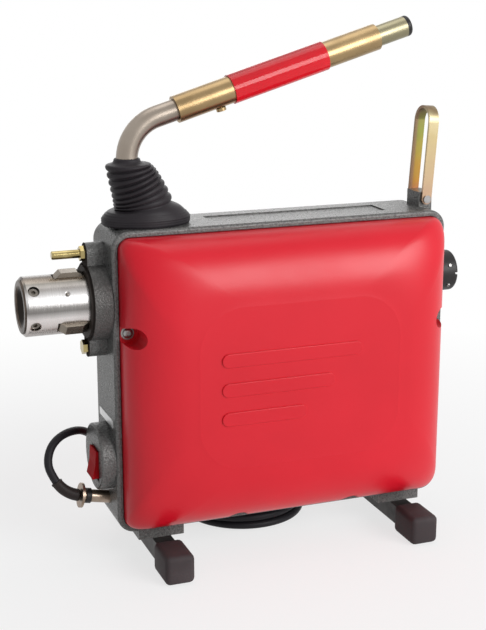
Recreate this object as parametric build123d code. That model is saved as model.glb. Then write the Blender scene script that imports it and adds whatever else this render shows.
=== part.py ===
"""Sectional drain cleaning machine.

A cast ring frame carries two domed covers, a belt drive, a hollow spindle with a three-jaw chuck and a
pull lever that closes the jaws. A switch, a mains lead, a latch strap and two rubber-capped foot bars
complete it. Sizes are in millimetres.

The pieces are drawn about the middle of the casting: +X towards the hose coupling, -Y towards the front
cover, +Z up from the floor. At the end each piece moves along X, so that the origin lies on the floor
under the middle of the whole machine.
"""

from build123d import *

import math
import os

# Fits
FIT_GAP = 0.05
RUNNING_GAP = 0.05
LOOSE_GAP = 0.3
OVERRUN = 1.0

# Casting
CASTING_W = 360.0
CASTING_H = 310.0
CASTING_D = 72.0
CASTING_CORNER_R = 18.0
CASTING_WALL = 10.0
RIM_W = 5.5
RIM_ROUND = 3.0
COVER_SEAT_DEPTH = 4.0
NAME_PANEL_L = 190.0
NAME_PANEL_W = 34.0
NAME_PANEL_X = 25.0
NAME_PANEL_DEPTH = 1.2

# Feet
FOOT_BAR = 20.0
FOOT_BAR_WALL = 2.5
FOOT_CAP_WALL = 5.2
FOOT_CAP_L = 44.5
FOOT_CAP_ROUND = 4.6
FOOT_L = 200.0
FOOT_X = 135.0
FOOT_PAD_W = 48.0
FOOT_PAD_H = 9.1
FOOT_BOLT_R = 4.0
FOOT_BOLT_HEAD_R = 6.5
FOOT_BOLT_HEAD_H = 4.0
FOOT_BOLT_TAIL = 3.0
FOOT_BOLT_Y = 24.0

# Covers
COVER_GAP = 1.0
COVER_T = 3.0
COVER_DOME_H = 47.0
COVER_DOME_WALL_H = 6.0
COVER_DOME_ROLL = 66.0
COVER_DOME_CORNER_R = 45.0
COVER_DOME_STEPS = 6
COVER_SCREW_R = 3.0
COVER_SCREW_HEAD_R = 6.8
COVER_SCREW_HEAD_H = 4.0
COVER_SCREW_SOCKET_R = 2.3
COVER_SCREW_SOCKET_DEPTH = 2.5
COVER_SCREW_L = 14.0
COVER_SCREW_EDGE = 14.0
COVER_SCREW_DROPS = (100.0, 109.5)
COVER_BOSS_R = 9.0
COVER_POCKET_R = 10.5
COVER_NOTCH_R = 12.0
COVER_NOTCH_RISE = 4.5
COVER_NOTCH_X = (-58.0, 68.0)
BEAD_LENGTHS = (150.0, 120.0, 90.0)
BEAD_PITCH = 30.0
BEAD_R = 7.0
BEAD_PROUD = 1.6
BEAD_LEFT_X = -85.0
BEAD_TOP_RISE = 185.0

# Spindle and bearings
AXIS_DROP = 73.8
BORE_R = 13.0
SPINDLE_R = 17.5
SPINDLE_REAR_GAP = 4.0
BEARING_R = 27.5
BEARING_W = 10.0
BEARING_RACE_T = 3.2
BEARING_RACE_DEPTH = 0.8
BEARING_BOSS_R = 38.0
BEARING_BOSS_L = 14.0
REAR_BOSS_L = 12.0
BEARING_SHOULDER_R = 20.0

# Front bearing housing
HOUSING_L = 18.0
HOUSING_R = 39.0
HOUSING_WALL = 2.8
HOUSING_BACK = 4.0
SPIGOT_L = 4.0
SPIGOT_WALL = 4.0
LUG_R = 10.5
STUD_RISE = 48.5
BOLT_DROP = 46.0
STUD_R = 4.25
STUD_L = 27.7
STUD_HEX = 13.0
STUD_HEX_L = 5.0
STUD_ROOT = 12.0
STUD_CHAMFER = 0.8
BOLT_HEX_L = 5.3

# Chuck
CHUCK_REACH = 81.9
CHUCK_R = 29.5
CHUCK_CHAMFER = 2.0
CHUCK_REAR_GAP = 4.0
COLLAR_R = 26.5
COLLAR_L = 1.6
COLLAR_CHAMFER = 0.6
MOUTH_R = 21.0
MOUTH_L = 9.0
SPINDLE_SOCKET = 18.5
SLEEVE_L = 11.8
SLEEVE_GAP = 0.5
JAW_W = 12.0
JAW_OPEN_R = 15.5
JAW_PROUD = 4.4
JAW_TOP_L = 16.5
JAW_FRONT_L = 7.4
JAW_SLOPE = 0.65
JAW_TAIL_R = 24.7
JAW_TAIL_L = 8.6
JAW_TAIL_GAP = 1.2
JAW_ANGLES = (82.0, -38.0, 202.0)
CHUCK_SCREWS = 5
CHUCK_SCREW_X = 8.4
CHUCK_SCREW_HEAD_R = 4.4
CHUCK_SCREW_HEAD_L = 4.5
CHUCK_SCREW_SUNK = 2.4
CHUCK_SCREW_RECESS_R = 5.6
CHUCK_SCREW_R = 2.5
CHUCK_SCREW_L = 8.0
CHUCK_SCREW_SOCKET_R = 2.3
CHUCK_SCREW_SOCKET_DEPTH = 2.5
CHUCK_SCREW_ANGLE = 42.0
CHUCK_PIN_R = 1.9
CHUCK_PIN_L = 9.0
CHUCK_PIN_ROUND = 1.5
CHUCK_PIN_RECESS_R = 2.8
CHUCK_PIN_RECESS = 1.6
CHUCK_PIN_X = 40.5
CHUCK_PIN_ANGLE = 31.0
CHUCK_PINS = 3

# Lever
LEVER_LEAN = 17.0
LEVER_SWING = 12.0
PIVOT_RISE = 48.0
PIVOT_X = -127.6
PIVOT_PIN_R = 5.0
EAR_R = 11.0
EAR_T = 9.0
EAR_GAP = 44.0
HUB_R = 11.0
HUB_SOCKET_R = 15.0
HUB_SOCKET_H = 18.0
LEVER_TUBE_ROOT = 12.0
LEVER_TUBE_R = 10.65
LEVER_TUBE_WALL = 2.6
LEVER_RISE = 123.0
LEVER_REACH = 326.5
LEVER_BEND_R = 43.0
LEVER_SLOT_X = -130.0
LEVER_SLOT_W = 33.0
LEVER_SLOT_L = 50.0
GRIP_TUBE_R = 13.45
GRIP_TUBE_START = 63.3
GRIP_TUBE_L = 224.4
GRIP_SLEEVE_R = 14.8
GRIP_SLEEVE_START = 123.4
GRIP_SLEEVE_L = 104.1
GRIP_SCREW_X = 108.5
GRIP_SCREW_R = 2.5
GRIP_SCREW_HEAD_R = 5.0
GRIP_SCREW_HEAD_H = 3.2
END_CAP_L = 5.5
END_CAP_PLUG_L = 12.0
END_CAP_ROUND = 3.0

# Linkage from the lever to the jaws
FORK_ARM_GAP = 82.0
FORK_ARM_T = 6.0
FORK_ARM_HALF_W = 8.2
FORK_BRIDGE_DROP = 12.5
FORK_BRIDGE_H = 7.0
FORK_BRIDGE_HALF_W = 5.0
FORK_TAIL = 9.0
TRUNNION_R = 4.0
TRUNNION_GAP = 0.2
RING_T = 10.0
RING_R = 37.5
RING_FLAT = 24.0
RING_BORE_GAP = 1.5
RING_BAR_HALF_H = 9.0
RING_BAR_GAP = 1.0
PUSH_PIN_R = 2.8
PUSH_PIN_GAP = 0.2
PUSH_PIN_CIRCLE_R = 33.0
PUSH_PIN_DEG = 35.0
PUSH_PIN_ROOT = 6.0
SPRING_WIRE_R = 1.5
SPRING_R = 23.0
SPRING_TURNS = 4
SPRING_END_GAP = 0.2

# Boot
BOOT_X = -134.7
BOOT_FOOT_R = 43.5
BOOT_LIP_R = 45.0
BOOT_LIP_LOW = 2.0
BOOT_LIP_HIGH = 7.5
BOOT_SIDE_R = 31.5
BOOT_CROWN_R = 41.0
BOOT_CROWN_RISE = 12.0
BOOT_SHOULDER_R = 35.0
BOOT_SHOULDER_RISE = 16.3
BOOT_WAIST_R = 26.5
BOOT_WAIST_RISE = 18.6
BOOT_BEND_RISE = 14.0
BOOT_TILT = 11.0
BOOT_RIBS = 6
BOOT_RIB_RISE = 22.7
BOOT_RIB_PITCH = 7.0
BOOT_LOW_RIB_R = 29.2
BOOT_TOP_RIB_R = 22.4
BOOT_RIB_DEPTH = 2.8
BOOT_COLLAR_RUN = 78.6
BOOT_COLLAR_R = 13.2
BOOT_COLLAR_H = 4.5
BOOT_WALL = 2.4

# Belt drive
PULLEY_X = 120.0
PULLEY_W = 18.0
SPINDLE_GROOVE_R = 50.0
MOTOR_GROOVE_R = 15.0
GROOVE_DEPTH = 8.5
BELT_W = 10.0
BELT_T = 6.0
PULLEY_HUB_R = 26.0
PULLEY_WEB_DEPTH = 5.0
PULLEY_RIM_T = 5.0

# Motor
MOTOR_RISE = 93.7
MOTOR_R = 56.0
MOTOR_X = -5.0
STATOR_L = 130.0
STATOR_BORE_R = 34.0
ROTOR_GAP = 0.5
ROTOR_END_GAP = 5.0
END_BELL_L = 22.0
END_BELL_WALL = 6.0
END_BELL_HUB_R = 18.0
MOTOR_SHAFT_R = 8.0
SHAFT_OVERHANG = 2.0
FAN_R = 45.0
FAN_W = 10.0
FAN_GAP = 2.0
FAN_BLADES = 8
FAN_HUB_R = 14.0
FAN_BLADE_T = 2.5
SADDLE_X = 10.0
SADDLE_L = 80.0
SADDLE_W = 64.0
SADDLE_H = 40.0
CAPACITOR_R = 17.5
CAPACITOR_L = 80.0
SEAT_GAP = 0.2

# Hose coupling
COUPLING_R = 21.75
COUPLING_L = 27.0
COUPLING_BORE_R = 15.0
COUPLING_BASE_R = 25.0
COUPLING_BASE_L = 4.0
COUPLING_ROUND = 3.0
COUPLING_SLOT_W = 3.0
COUPLING_SLOT_L = 4.0
COUPLING_SLOTS = 3
WASHER_R = 28.0
WASHER_L = 2.5

# Switch and rating plate
SWITCH_RISE = 73.6
SWITCH_BOSS_R = 34.2
SWITCH_BOSS_H = 14.5
SWITCH_BOSS_ROUND = 2.2
SWITCH_Y = -7.0
SWITCH_DROP = 4.3
SWITCH_W = 28.0
SWITCH_H = 36.0
SWITCH_FRAME_WALL = 1.6
SWITCH_FRAME_L = 14.0
SWITCH_MODULE_L = 26.0
ROCKER_GAP = 0.4
ROCKER_H = 29.5
ROCKER_PIVOT = 5.0
ROCKER_END = 9.8
ROCKER_MID = 8.6
ROCKER_BACK = 3.0
ROCKER_BACK_H = 24.0
ROCKER_TILT = 8.0
ROCKER_PIN_R = 2.0
PLATE_L = 50.0
PLATE_H = 8.0
PLATE_T = 0.6
PLATE_GAP = 2.4

# Cable gland
GLAND_RISE = 27.7
GLAND_TILT = 11.0
GLAND_R = 6.5
GLAND_ROOT = 8.0
GLAND_BARREL_L = 20.0
GLAND_NECK_R = 5.6
GLAND_RING_R = 7.8
GLAND_RING_L = 5.0
GLAND_NUT_R = 12.7
GLAND_NUT_L = 2.6
GLAND_NUT_GAP = 3.4

# Latch strap
STRAP_LUG_L = 15.0
STRAP_LUG_W = 26.6
STRAP_LUG_H = 15.8
STRAP_EDGE = 12.0
STRAP_PIN_RISE = 8.4
STRAP_PIN_R = 3.0
STRAP_PIN_HEAD_R = 4.2
STRAP_PIN_HEAD_L = 1.5
STRAP_W = 11.0
STRAP_T = 3.0
STRAP_L = 96.5
STRAP_LEAN = 4.0

# Mains lead
CORD_R = 4.3
BEND_SLEEVE_R = 6.1
BEND_SLEEVE_TURN = 51.0
BEND_SLEEVE_BEND_R = 32.6
BEND_SLEEVE_ROLL = 20.0
LEAD_ARC_SHARE = 0.45
LEAD_FIRST_RUN = 12.2
LEAD_LAST_RUN = 12.8
LEAD_POINTS = (
    (-239.6, 12.2, 105.2),
    (-234.9, 18.6, 115.4),
    (-226.0, 25.6, 122.0),
    (-213.4, 33.4, 124.8),
    (-197.5, 44.8, 122.0),
    (-184.5, 57.0, 112.6),
    (-173.0, 68.5, 98.0),
    (-160.0, 81.0, 80.0),
    (-149.0, 92.0, 60.5),
    (-136.0, 103.1, 42.8),
    (-119.0, 111.5, 27.3),
    (-102.5, 111.0, 12.5),
    (-85.5, 108.2, 6.6),
)
COIL_X = -12.0
COIL_Y = 63.0
COIL_R = 70.5
COIL_STEP = 9.4
COIL_LOOPS = 7
COIL_START_DEG = 120.0
COIL_END_DEG = 90.0
COIL_ARCS = 30
COIL_TAIL = 40.0
TIE_T = 1.0
TIE_W = 12.0
TIE_GAP = 0.8
TIE_DEG = 20.0
PLUG_L = 40.0
PLUG_W = 36.0
PLUG_NECK_L = 22.0
PLUG_NECK_R = 8.0
PLUG_ROUND = 6.0
PLUG_PIN_R = 2.4
PLUG_PIN_L = 19.0
PLUG_PIN_ROOT = 8.0
PLUG_PIN_PITCH = 19.0

# Places and sizes that follow from the ones above
CASTING_Z = FOOT_CAP_WALL + FOOT_BAR + FOOT_PAD_H
MID_Z = CASTING_Z + CASTING_H / 2
TOP_Z = CASTING_Z + CASTING_H
FLOOR_Z = CASTING_Z + CASTING_WALL
AXIS_Z = TOP_Z - AXIS_DROP
LEFT = -CASTING_W / 2
RIGHT = CASTING_W / 2
HALF_D = CASTING_D / 2
SEAT_Y = HALF_D - COVER_SEAT_DEPTH
COVER_FACE_Y = SEAT_Y + COVER_T
COVER_W = CASTING_W - 2 * (RIM_W + COVER_GAP)
COVER_H = CASTING_H - 2 * (RIM_W + COVER_GAP)
COVER_CORNER_R = CASTING_CORNER_R - RIM_W - COVER_GAP
COVER_DOME_RISE = COVER_DOME_H - COVER_DOME_WALL_H
BEARING_STOP = LEFT + SPIGOT_L + BEARING_W
BOSS_END = LEFT + CASTING_WALL + BEARING_BOSS_L
REAR_STOP = RIGHT - CASTING_WALL
HOUSING_FRONT = LEFT - HOUSING_L
HOUSING_FLOOR = LEFT - HOUSING_BACK
CHUCK_FRONT = LEFT - CHUCK_REACH
CHUCK_REAR = HOUSING_FLOOR - CHUCK_REAR_GAP
SPINDLE_FRONT = CHUCK_REAR - SPINDLE_SOCKET
SPINDLE_REAR = RIGHT - SPINDLE_REAR_GAP
SLEEVE_IN_R = CHUCK_R + SLEEVE_GAP
SLEEVE_OUT_R = HOUSING_R - HOUSING_WALL - SLEEVE_GAP
SLEEVE_REAR = CHUCK_REAR - SLEEVE_GAP
SLEEVE_FRONT = SLEEVE_REAR - SLEEVE_L
PIVOT_Z = AXIS_Z + PIVOT_RISE
HALF_SWING = LEVER_SWING / 2
RING_X = PIVOT_X + PIVOT_RISE * math.tan(math.radians(HALF_SWING))
RING_LEFT = RING_X - RING_T / 2
FORK_OUT_Y = FORK_ARM_GAP / 2 + FORK_ARM_T
MOTOR_Z = CASTING_Z + MOTOR_RISE
STATOR_LEFT = MOTOR_X - STATOR_L / 2
STATOR_RIGHT = MOTOR_X + STATOR_L / 2
FAN_RIGHT = STATOR_LEFT - END_BELL_L - FAN_GAP
FAN_LEFT = FAN_RIGHT - FAN_W
COUPLING_END = RIGHT + COUPLING_L
SWITCH_BOSS_Z = CASTING_Z + SWITCH_RISE
SWITCH_Z = SWITCH_BOSS_Z - SWITCH_DROP
SWITCH_FACE = LEFT - SWITCH_BOSS_H
ROCKER_X = SWITCH_FACE + ROCKER_PIVOT
GLAND_Z = CASTING_Z + GLAND_RISE
GLAND_L = GLAND_BARREL_L + GLAND_RING_L + GLAND_NUT_GAP + GLAND_NUT_L
STRAP_X = RIGHT - STRAP_EDGE
STRAP_PIN_Z = TOP_Z + STRAP_PIN_RISE
STRAP_IN_Y = STRAP_LUG_W / 2 + LOOSE_GAP
COIL_LOW_Z = TIE_T + TIE_GAP + CORD_R
COIL_HIGH_Z = COIL_LOW_Z + COIL_STEP
COIL_TURNED = 360 * COIL_LOOPS + COIL_START_DEG - COIL_END_DEG
COIL_ARC_DEG = COIL_TURNED / COIL_ARCS
MODEL_SHIFT = -(CHUCK_FRONT - COLLAR_L + COUPLING_END) / 2


# Shapes that many pieces use
def block(x_from, x_to, y_from, y_to, z_from, z_to):
    """A box between two corners."""
    middle = Pos((x_from + x_to) / 2, (y_from + y_to) / 2, (z_from + z_to) / 2)
    return middle * Box(x_to - x_from, y_to - y_from, z_to - z_from)


def x_bar(radius, x_from, x_to, y=0.0, z=0.0):
    """A round bar along X."""
    return Pos((x_from + x_to) / 2, y, z) * Rot(0, 90, 0) * Cylinder(radius, x_to - x_from)


def x_ring(outer, inner, x_from, x_to):
    """A ring about the X axis."""
    return x_bar(outer, x_from, x_to) - x_bar(inner, x_from - OVERRUN, x_to + OVERRUN)


def y_bar(radius, y_from, y_to, x=0.0, z=0.0):
    """A round bar along Y."""
    return Pos(x, (y_from + y_to) / 2, z) * Rot(90, 0, 0) * Cylinder(radius, y_to - y_from)


def z_bar(radius, z_from, z_to, x=0.0, y=0.0):
    """A round bar along Z."""
    return Pos(x, y, (z_from + z_to) / 2) * Cylinder(radius, z_to - z_from)


def hex_bar(across_flats, x_from, x_to, z):
    """A hexagonal bar along X."""
    outline = RegularPolygon(across_flats / 2, 6, major_radius=False)
    return Pos(x_from, 0, z) * Rot(0, 90, 0) * extrude(outline, x_to - x_from)


def casting_prism(outline, y_from, y_to):
    """A sketch of X and Z about the casting's middle, as a prism along Y."""
    prism = extrude(Plane.XZ * outline, y_to - y_from)
    return Pos(0, y_to, MID_Z) * prism


def on_axis(shape):
    """A shape drawn about the X axis, at the spindle's height."""
    return Pos(0, 0, AXIS_Z) * shape


def round_axis(shape, degrees):
    """A shape that stands on the X axis, turned to an angle counted from -Y upwards."""
    return Rot(90 - degrees, 0, 0) * shape


def group(pieces):
    """Separate solids in one node."""
    return Compound([solid for piece in pieces for solid in piece.solids()])


def arc_or_line(start, corner, end):
    """The arc that leaves start towards corner and comes to end from corner."""
    first = corner - start
    turn = math.radians(first.get_angle(end - corner))
    if turn < 1e-4:
        return Line(start, end)
    radius = first.length / math.tan(turn / 2)
    inward = ((start + end) / 2 - corner).normalized()
    middle = corner + inward * (math.hypot(radius, first.length) - radius)
    return ThreePointArc(start, middle, end)


def biarcs(points, tangents):
    """Pairs of tangent arcs through points, with a direction at each."""
    edges = []
    for start, end, leave, arrive in zip(points, points[1:], tangents, tangents[1:]):
        span = end - start
        along = span.dot(leave + arrive)
        square = 2 * (1 - leave.dot(arrive))
        if square < 1e-9:
            reach = span.dot(span) / (2 * along)
        else:
            reach = (math.sqrt(along**2 + square * span.dot(span)) - along) / square
        first_corner = start + leave * reach
        last_corner = end - arrive * reach
        middle = (first_corner + last_corner) / 2
        edges.append(arc_or_line(start, first_corner, middle))
        edges.append(arc_or_line(middle, last_corner, end))
    return edges


def swept_tube(path, radius):
    """A round solid along a path."""
    section = Plane(origin=path @ 0, z_dir=path % 0) * Circle(radius)
    return sweep(section, path=path)


def least_gap(path, radius, apart):
    """Least gap of a tube to itself, between points at least so far apart along its path."""
    count = int(path.length / radius)
    points = [path @ (index / count) for index in range(count + 1)]
    skip = math.ceil(apart / path.length * count)
    gaps = [(a - b).length for i, a in enumerate(points) for b in points[i + skip:]]
    return min(gaps) - 2 * radius


# Casting
def cover_screw_places():
    """X and Z of the two screws on each side."""
    side_x = CASTING_W / 2 - COVER_SCREW_EDGE
    left_drop, right_drop = COVER_SCREW_DROPS
    return [(-side_x, TOP_Z - left_drop), (side_x, TOP_Z - right_drop)]


def push_pin_places():
    """Y and Z of the four push pins, from the spindle's axis."""
    y = PUSH_PIN_CIRCLE_R * math.cos(math.radians(PUSH_PIN_DEG))
    z = PUSH_PIN_CIRCLE_R * math.sin(math.radians(PUSH_PIN_DEG))
    return [(side * y, rise * z) for side in (-1, 1) for rise in (-1, 1)]


def foot_bolt_places():
    """X and Y of the foot bolts."""
    return [(side * FOOT_X, end * FOOT_BOLT_Y) for side in (-1, 1) for end in (-1, 1)]


def casting_ring():
    """The rounded frame with a seat for a cover on each side."""
    ring = casting_prism(RectangleRounded(CASTING_W, CASTING_H, CASTING_CORNER_R), -HALF_D, HALF_D)
    rims = [edge for edge in ring.edges() if abs(edge.center().Y) > HALF_D - RIM_ROUND]
    ring = fillet(rims, RIM_ROUND)
    cavity_w = CASTING_W - 2 * CASTING_WALL
    cavity_h = CASTING_H - 2 * CASTING_WALL
    cavity = RectangleRounded(cavity_w, cavity_h, CASTING_CORNER_R - CASTING_WALL)
    seat = RectangleRounded(CASTING_W - 2 * RIM_W, CASTING_H - 2 * RIM_W, CASTING_CORNER_R - RIM_W)
    ring -= casting_prism(cavity, -HALF_D - OVERRUN, HALF_D + OVERRUN)
    ring -= casting_prism(seat, -HALF_D - OVERRUN, -SEAT_Y)
    ring -= casting_prism(seat, SEAT_Y, HALF_D + OVERRUN)
    return ring


def bearing_bosses():
    """The two bosses round the spindle, flush with the cover seats."""
    front = x_bar(BEARING_BOSS_R, LEFT + CASTING_WALL / 2, BOSS_END)
    rear = x_bar(BEARING_BOSS_R, REAR_STOP - REAR_BOSS_L, RIGHT - CASTING_WALL / 2)
    between = block(LEFT, RIGHT, -SEAT_Y, SEAT_Y, -BEARING_BOSS_R, BEARING_BOSS_R)
    return on_axis((front + rear) & between)


def pivot_ears():
    """The two ears under the top wall that hold the lever's pin."""
    near = EAR_GAP / 2
    ear = y_bar(EAR_R, near, near + EAR_T, PIVOT_X, PIVOT_Z)
    ear += block(PIVOT_X - EAR_R, PIVOT_X + EAR_R, near, near + EAR_T, PIVOT_Z, TOP_Z - CASTING_WALL / 2)
    return ear + mirror(ear, about=Plane.XZ)


def foot_pads():
    """The two pads that stand on the foot bars."""
    pads = [block(side * FOOT_X - FOOT_PAD_W / 2, side * FOOT_X + FOOT_PAD_W / 2, -HALF_D, HALF_D,
                  CASTING_Z - FOOT_PAD_H, FLOOR_Z - CASTING_WALL / 2) for side in (-1, 1)]
    return pads[0] + pads[1]


def switch_boss():
    """The round boss on the left wall that holds the switch."""
    boss = x_bar(SWITCH_BOSS_R, SWITCH_FACE, LEFT + CASTING_WALL / 2)
    boss = fillet(boss.edges().group_by(Axis.X)[0], SWITCH_BOSS_ROUND)
    return Pos(0, 0, SWITCH_BOSS_Z) * boss


def strap_lug():
    """The lug on the top that the latch strap swings on."""
    return block(STRAP_X - STRAP_LUG_L / 2, STRAP_X + STRAP_LUG_L / 2, -STRAP_LUG_W / 2, STRAP_LUG_W / 2,
                 TOP_Z - CASTING_WALL, TOP_Z + STRAP_LUG_H)


def main_casting():
    """The frame with its bosses, pads, ears and lug, and every hole in them."""
    casting = casting_ring()
    for x, z in cover_screw_places():
        casting += y_bar(COVER_BOSS_R, -SEAT_Y, SEAT_Y, x, z) & casting_envelope()
    for detail in (bearing_bosses(), pivot_ears(), foot_pads(), switch_boss(), strap_lug()):
        casting += detail
    return casting - spindle_holes() - lever_holes() - fastener_holes() - switch_holes() - name_panel()


def casting_envelope():
    """The space inside the casting's cover seats and floor."""
    outline = RectangleRounded(CASTING_W - 2 * RIM_W, CASTING_H - 2 * RIM_W, CASTING_CORNER_R - RIM_W)
    return casting_prism(outline, -SEAT_Y, SEAT_Y)


def spindle_holes():
    """Bearing seats, push pin holes and the holes of the housing's stud and bolt."""
    holes = [
        x_bar(BEARING_R, LEFT - OVERRUN, BEARING_STOP),
        x_bar(BEARING_SHOULDER_R, BEARING_STOP - OVERRUN, BOSS_END + OVERRUN),
        x_bar(BEARING_R, REAR_STOP - REAR_BOSS_L - OVERRUN, REAR_STOP),
        x_bar(BEARING_SHOULDER_R, REAR_STOP - OVERRUN, RIGHT + OVERRUN),
    ]
    for y, z in push_pin_places():
        holes.append(x_bar(PUSH_PIN_R + PUSH_PIN_GAP, LEFT - OVERRUN, BOSS_END + OVERRUN, y, z))
    for z in (STUD_RISE, -BOLT_DROP):
        holes.append(x_bar(STUD_R + FIT_GAP, LEFT - OVERRUN, LEFT + STUD_ROOT + OVERRUN, z=z))
    return [on_axis(hole) for hole in holes]


def lever_holes():
    """The slot that the lever comes out of, and the holes of its pin and of the strap's pin."""
    slot = block(LEVER_SLOT_X - LEVER_SLOT_L / 2, LEVER_SLOT_X + LEVER_SLOT_L / 2,
                 -LEVER_SLOT_W / 2, LEVER_SLOT_W / 2, TOP_Z - 2 * CASTING_WALL, TOP_Z + OVERRUN)
    pivot = y_bar(PIVOT_PIN_R + FIT_GAP, -HALF_D, HALF_D, PIVOT_X, PIVOT_Z)
    strap = y_bar(STRAP_PIN_R + FIT_GAP, -HALF_D, HALF_D, STRAP_X, STRAP_PIN_Z)
    return [slot, pivot, strap]


def fastener_holes():
    """Blind holes for the cover screws, and through holes for the foot bolts."""
    holes = []
    blind = COVER_FACE_Y - COVER_SCREW_L - OVERRUN
    for x, z in cover_screw_places():
        holes.append(y_bar(COVER_SCREW_R + FIT_GAP, -HALF_D, -blind, x, z))
        holes.append(y_bar(COVER_SCREW_R + FIT_GAP, blind, HALF_D, x, z))
    for x, y in foot_bolt_places():
        holes.append(z_bar(FOOT_BOLT_R + FIT_GAP, CASTING_Z - FOOT_PAD_H - OVERRUN, FLOOR_Z + OVERRUN, x, y))
    return holes


def switch_holes():
    """The switch's window and the slanting hole of the cable gland."""
    window = block(SWITCH_FACE - OVERRUN, LEFT + CASTING_WALL + OVERRUN, -SWITCH_W / 2, SWITCH_W / 2,
                   -SWITCH_H / 2, SWITCH_H / 2)
    window = Pos(0, SWITCH_Y, SWITCH_Z) * window
    gland = gland_place() * x_bar(GLAND_R + FIT_GAP, -GLAND_BARREL_L, 2 * CASTING_WALL)
    return [window, gland]


def name_panel():
    """The shallow bare panel in the top."""
    return block(NAME_PANEL_X - NAME_PANEL_L / 2, NAME_PANEL_X + NAME_PANEL_L / 2,
                 -NAME_PANEL_W / 2, NAME_PANEL_W / 2, TOP_Z - NAME_PANEL_DEPTH, TOP_Z + OVERRUN)


# Feet
def foot_bar(side):
    """A square tube across the machine, with holes for its two bolts."""
    low = FOOT_CAP_WALL
    half = FOOT_BAR / 2
    end = FOOT_L / 2 - FOOT_CAP_WALL
    inner = half - FOOT_BAR_WALL
    x = side * FOOT_X
    bar = block(x - half, x + half, -end, end, low, low + FOOT_BAR)
    bar -= block(x - inner, x + inner, -end - OVERRUN, end + OVERRUN,
                 low + FOOT_BAR_WALL, low + FOOT_BAR - FOOT_BAR_WALL)
    for y in (-FOOT_BOLT_Y, FOOT_BOLT_Y):
        bar -= z_bar(FOOT_BOLT_R + FIT_GAP, low + FOOT_BAR / 2, low + FOOT_BAR + OVERRUN, x, y)
    return bar


def foot_bars():
    """The two square tubes that the machine stands on."""
    return group([foot_bar(-1), foot_bar(1)])


def foot_caps():
    """Four rubber caps, each closed at its outer end."""
    half = FOOT_BAR / 2
    out = half + FOOT_CAP_WALL
    end = FOOT_L / 2
    cap = block(-out, out, end - FOOT_CAP_L, end, 0, 2 * out)
    rounded = cap.edges().filter_by(Axis.Y) + cap.faces().sort_by(Axis.Y)[-1].edges()
    cap = fillet(rounded, FOOT_CAP_ROUND)
    cap -= block(-half, half, end - FOOT_CAP_L - OVERRUN, end - FOOT_CAP_WALL,
                 FOOT_CAP_WALL, FOOT_CAP_WALL + FOOT_BAR)
    ends = [cap, mirror(cap, about=Plane.XZ)]
    return group([Pos(side * FOOT_X, 0, 0) * piece for side in (-1, 1) for piece in ends])


def foot_bolts():
    """Bolts from the casting's floor down into the foot bars."""
    tail = FOOT_CAP_WALL + FOOT_BAR - FOOT_BAR_WALL - FOOT_BOLT_TAIL
    bolts = []
    for x, y in foot_bolt_places():
        bolt = z_bar(FOOT_BOLT_HEAD_R, FLOOR_Z, FLOOR_Z + FOOT_BOLT_HEAD_H, x, y)
        bolts.append(bolt + z_bar(FOOT_BOLT_R, tail, FLOOR_Z, x, y))
    return group(bolts)


# Covers
def cover_section(inset, turn):
    """The cover's outline part of the way over its roll, with corners that open out as it rises."""
    drawn_in = COVER_DOME_ROLL - (COVER_DOME_ROLL - inset) * math.cos(turn)
    corner_r = COVER_CORNER_R - inset + (COVER_DOME_CORNER_R - COVER_CORNER_R) * math.sin(turn)
    return RectangleRounded(COVER_W - 2 * drawn_in, COVER_H - 2 * drawn_in, corner_r)


def cover_dome(inset):
    """The pillow shape of the front cover: a low wall that rolls over to the flat front, drawn in by an inset."""
    base = Plane.XZ * cover_section(inset, 0)
    sections = [base]
    for step in range(COVER_DOME_STEPS + 1):
        turn = math.radians(90 * step / COVER_DOME_STEPS)
        height = COVER_DOME_WALL_H + (COVER_DOME_RISE - inset) * math.sin(turn)
        sections.append(Plane.XZ.offset(height) * cover_section(inset, turn))
    skirt = extrude(base, -COVER_T)
    return Pos(0, -COVER_FACE_Y, MID_Z) * (loft(sections) + skirt)


def cover_beads():
    """Plain raised beads on the front of the cover."""
    front_y = COVER_FACE_Y + COVER_DOME_H
    beads = []
    for row, length in enumerate(BEAD_LENGTHS):
        bead = extrude(Plane.XZ * SlotOverall(length, 2 * BEAD_R), COVER_T / 2 + BEAD_PROUD)
        bead = fillet(bead.faces().sort_by(Axis.Y)[0].edges(), BEAD_PROUD / 2)
        x = BEAD_LEFT_X + length / 2
        z = CASTING_Z + BEAD_TOP_RISE - row * BEAD_PITCH
        beads.append(Pos(x, COVER_T / 2 - front_y, z) * bead)
    return beads


def cover_pockets():
    """Radius, X and Z of the pockets sunk in a cover: one at each screw, and two to lift it by."""
    pockets = [(COVER_POCKET_R, x, z) for x, z in cover_screw_places()]
    return pockets + [(COVER_NOTCH_R, x, CASTING_Z + COVER_NOTCH_RISE) for x in COVER_NOTCH_X]


def plain_cover():
    """A domed shell with its pockets, on the front side."""
    far = -COVER_FACE_Y - COVER_DOME_H - OVERRUN
    outer = cover_dome(0)
    hollow = cover_dome(COVER_T) + casting_prism(
        RectangleRounded(COVER_W - 2 * COVER_T, COVER_H - 2 * COVER_T, COVER_CORNER_R - COVER_T),
        -COVER_FACE_Y, -SEAT_Y + OVERRUN)
    for radius, x, z in cover_pockets():
        outer -= y_bar(radius, far, -COVER_FACE_Y, x, z)
        hollow -= y_bar(radius + COVER_T, far, -SEAT_Y, x, z)
    cover = outer - hollow
    for x, z in cover_screw_places():
        cover -= y_bar(COVER_SCREW_R + LOOSE_GAP, -COVER_FACE_Y - OVERRUN, -SEAT_Y + OVERRUN, x, z)
    return cover


def front_cover():
    """The front cover with its beads."""
    cover = plain_cover()
    for bead in cover_beads():
        cover += bead
    return cover


def rear_cover():
    """The rear cover, the plain mirror of the front one."""
    return mirror(plain_cover(), about=Plane.XZ)


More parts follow.
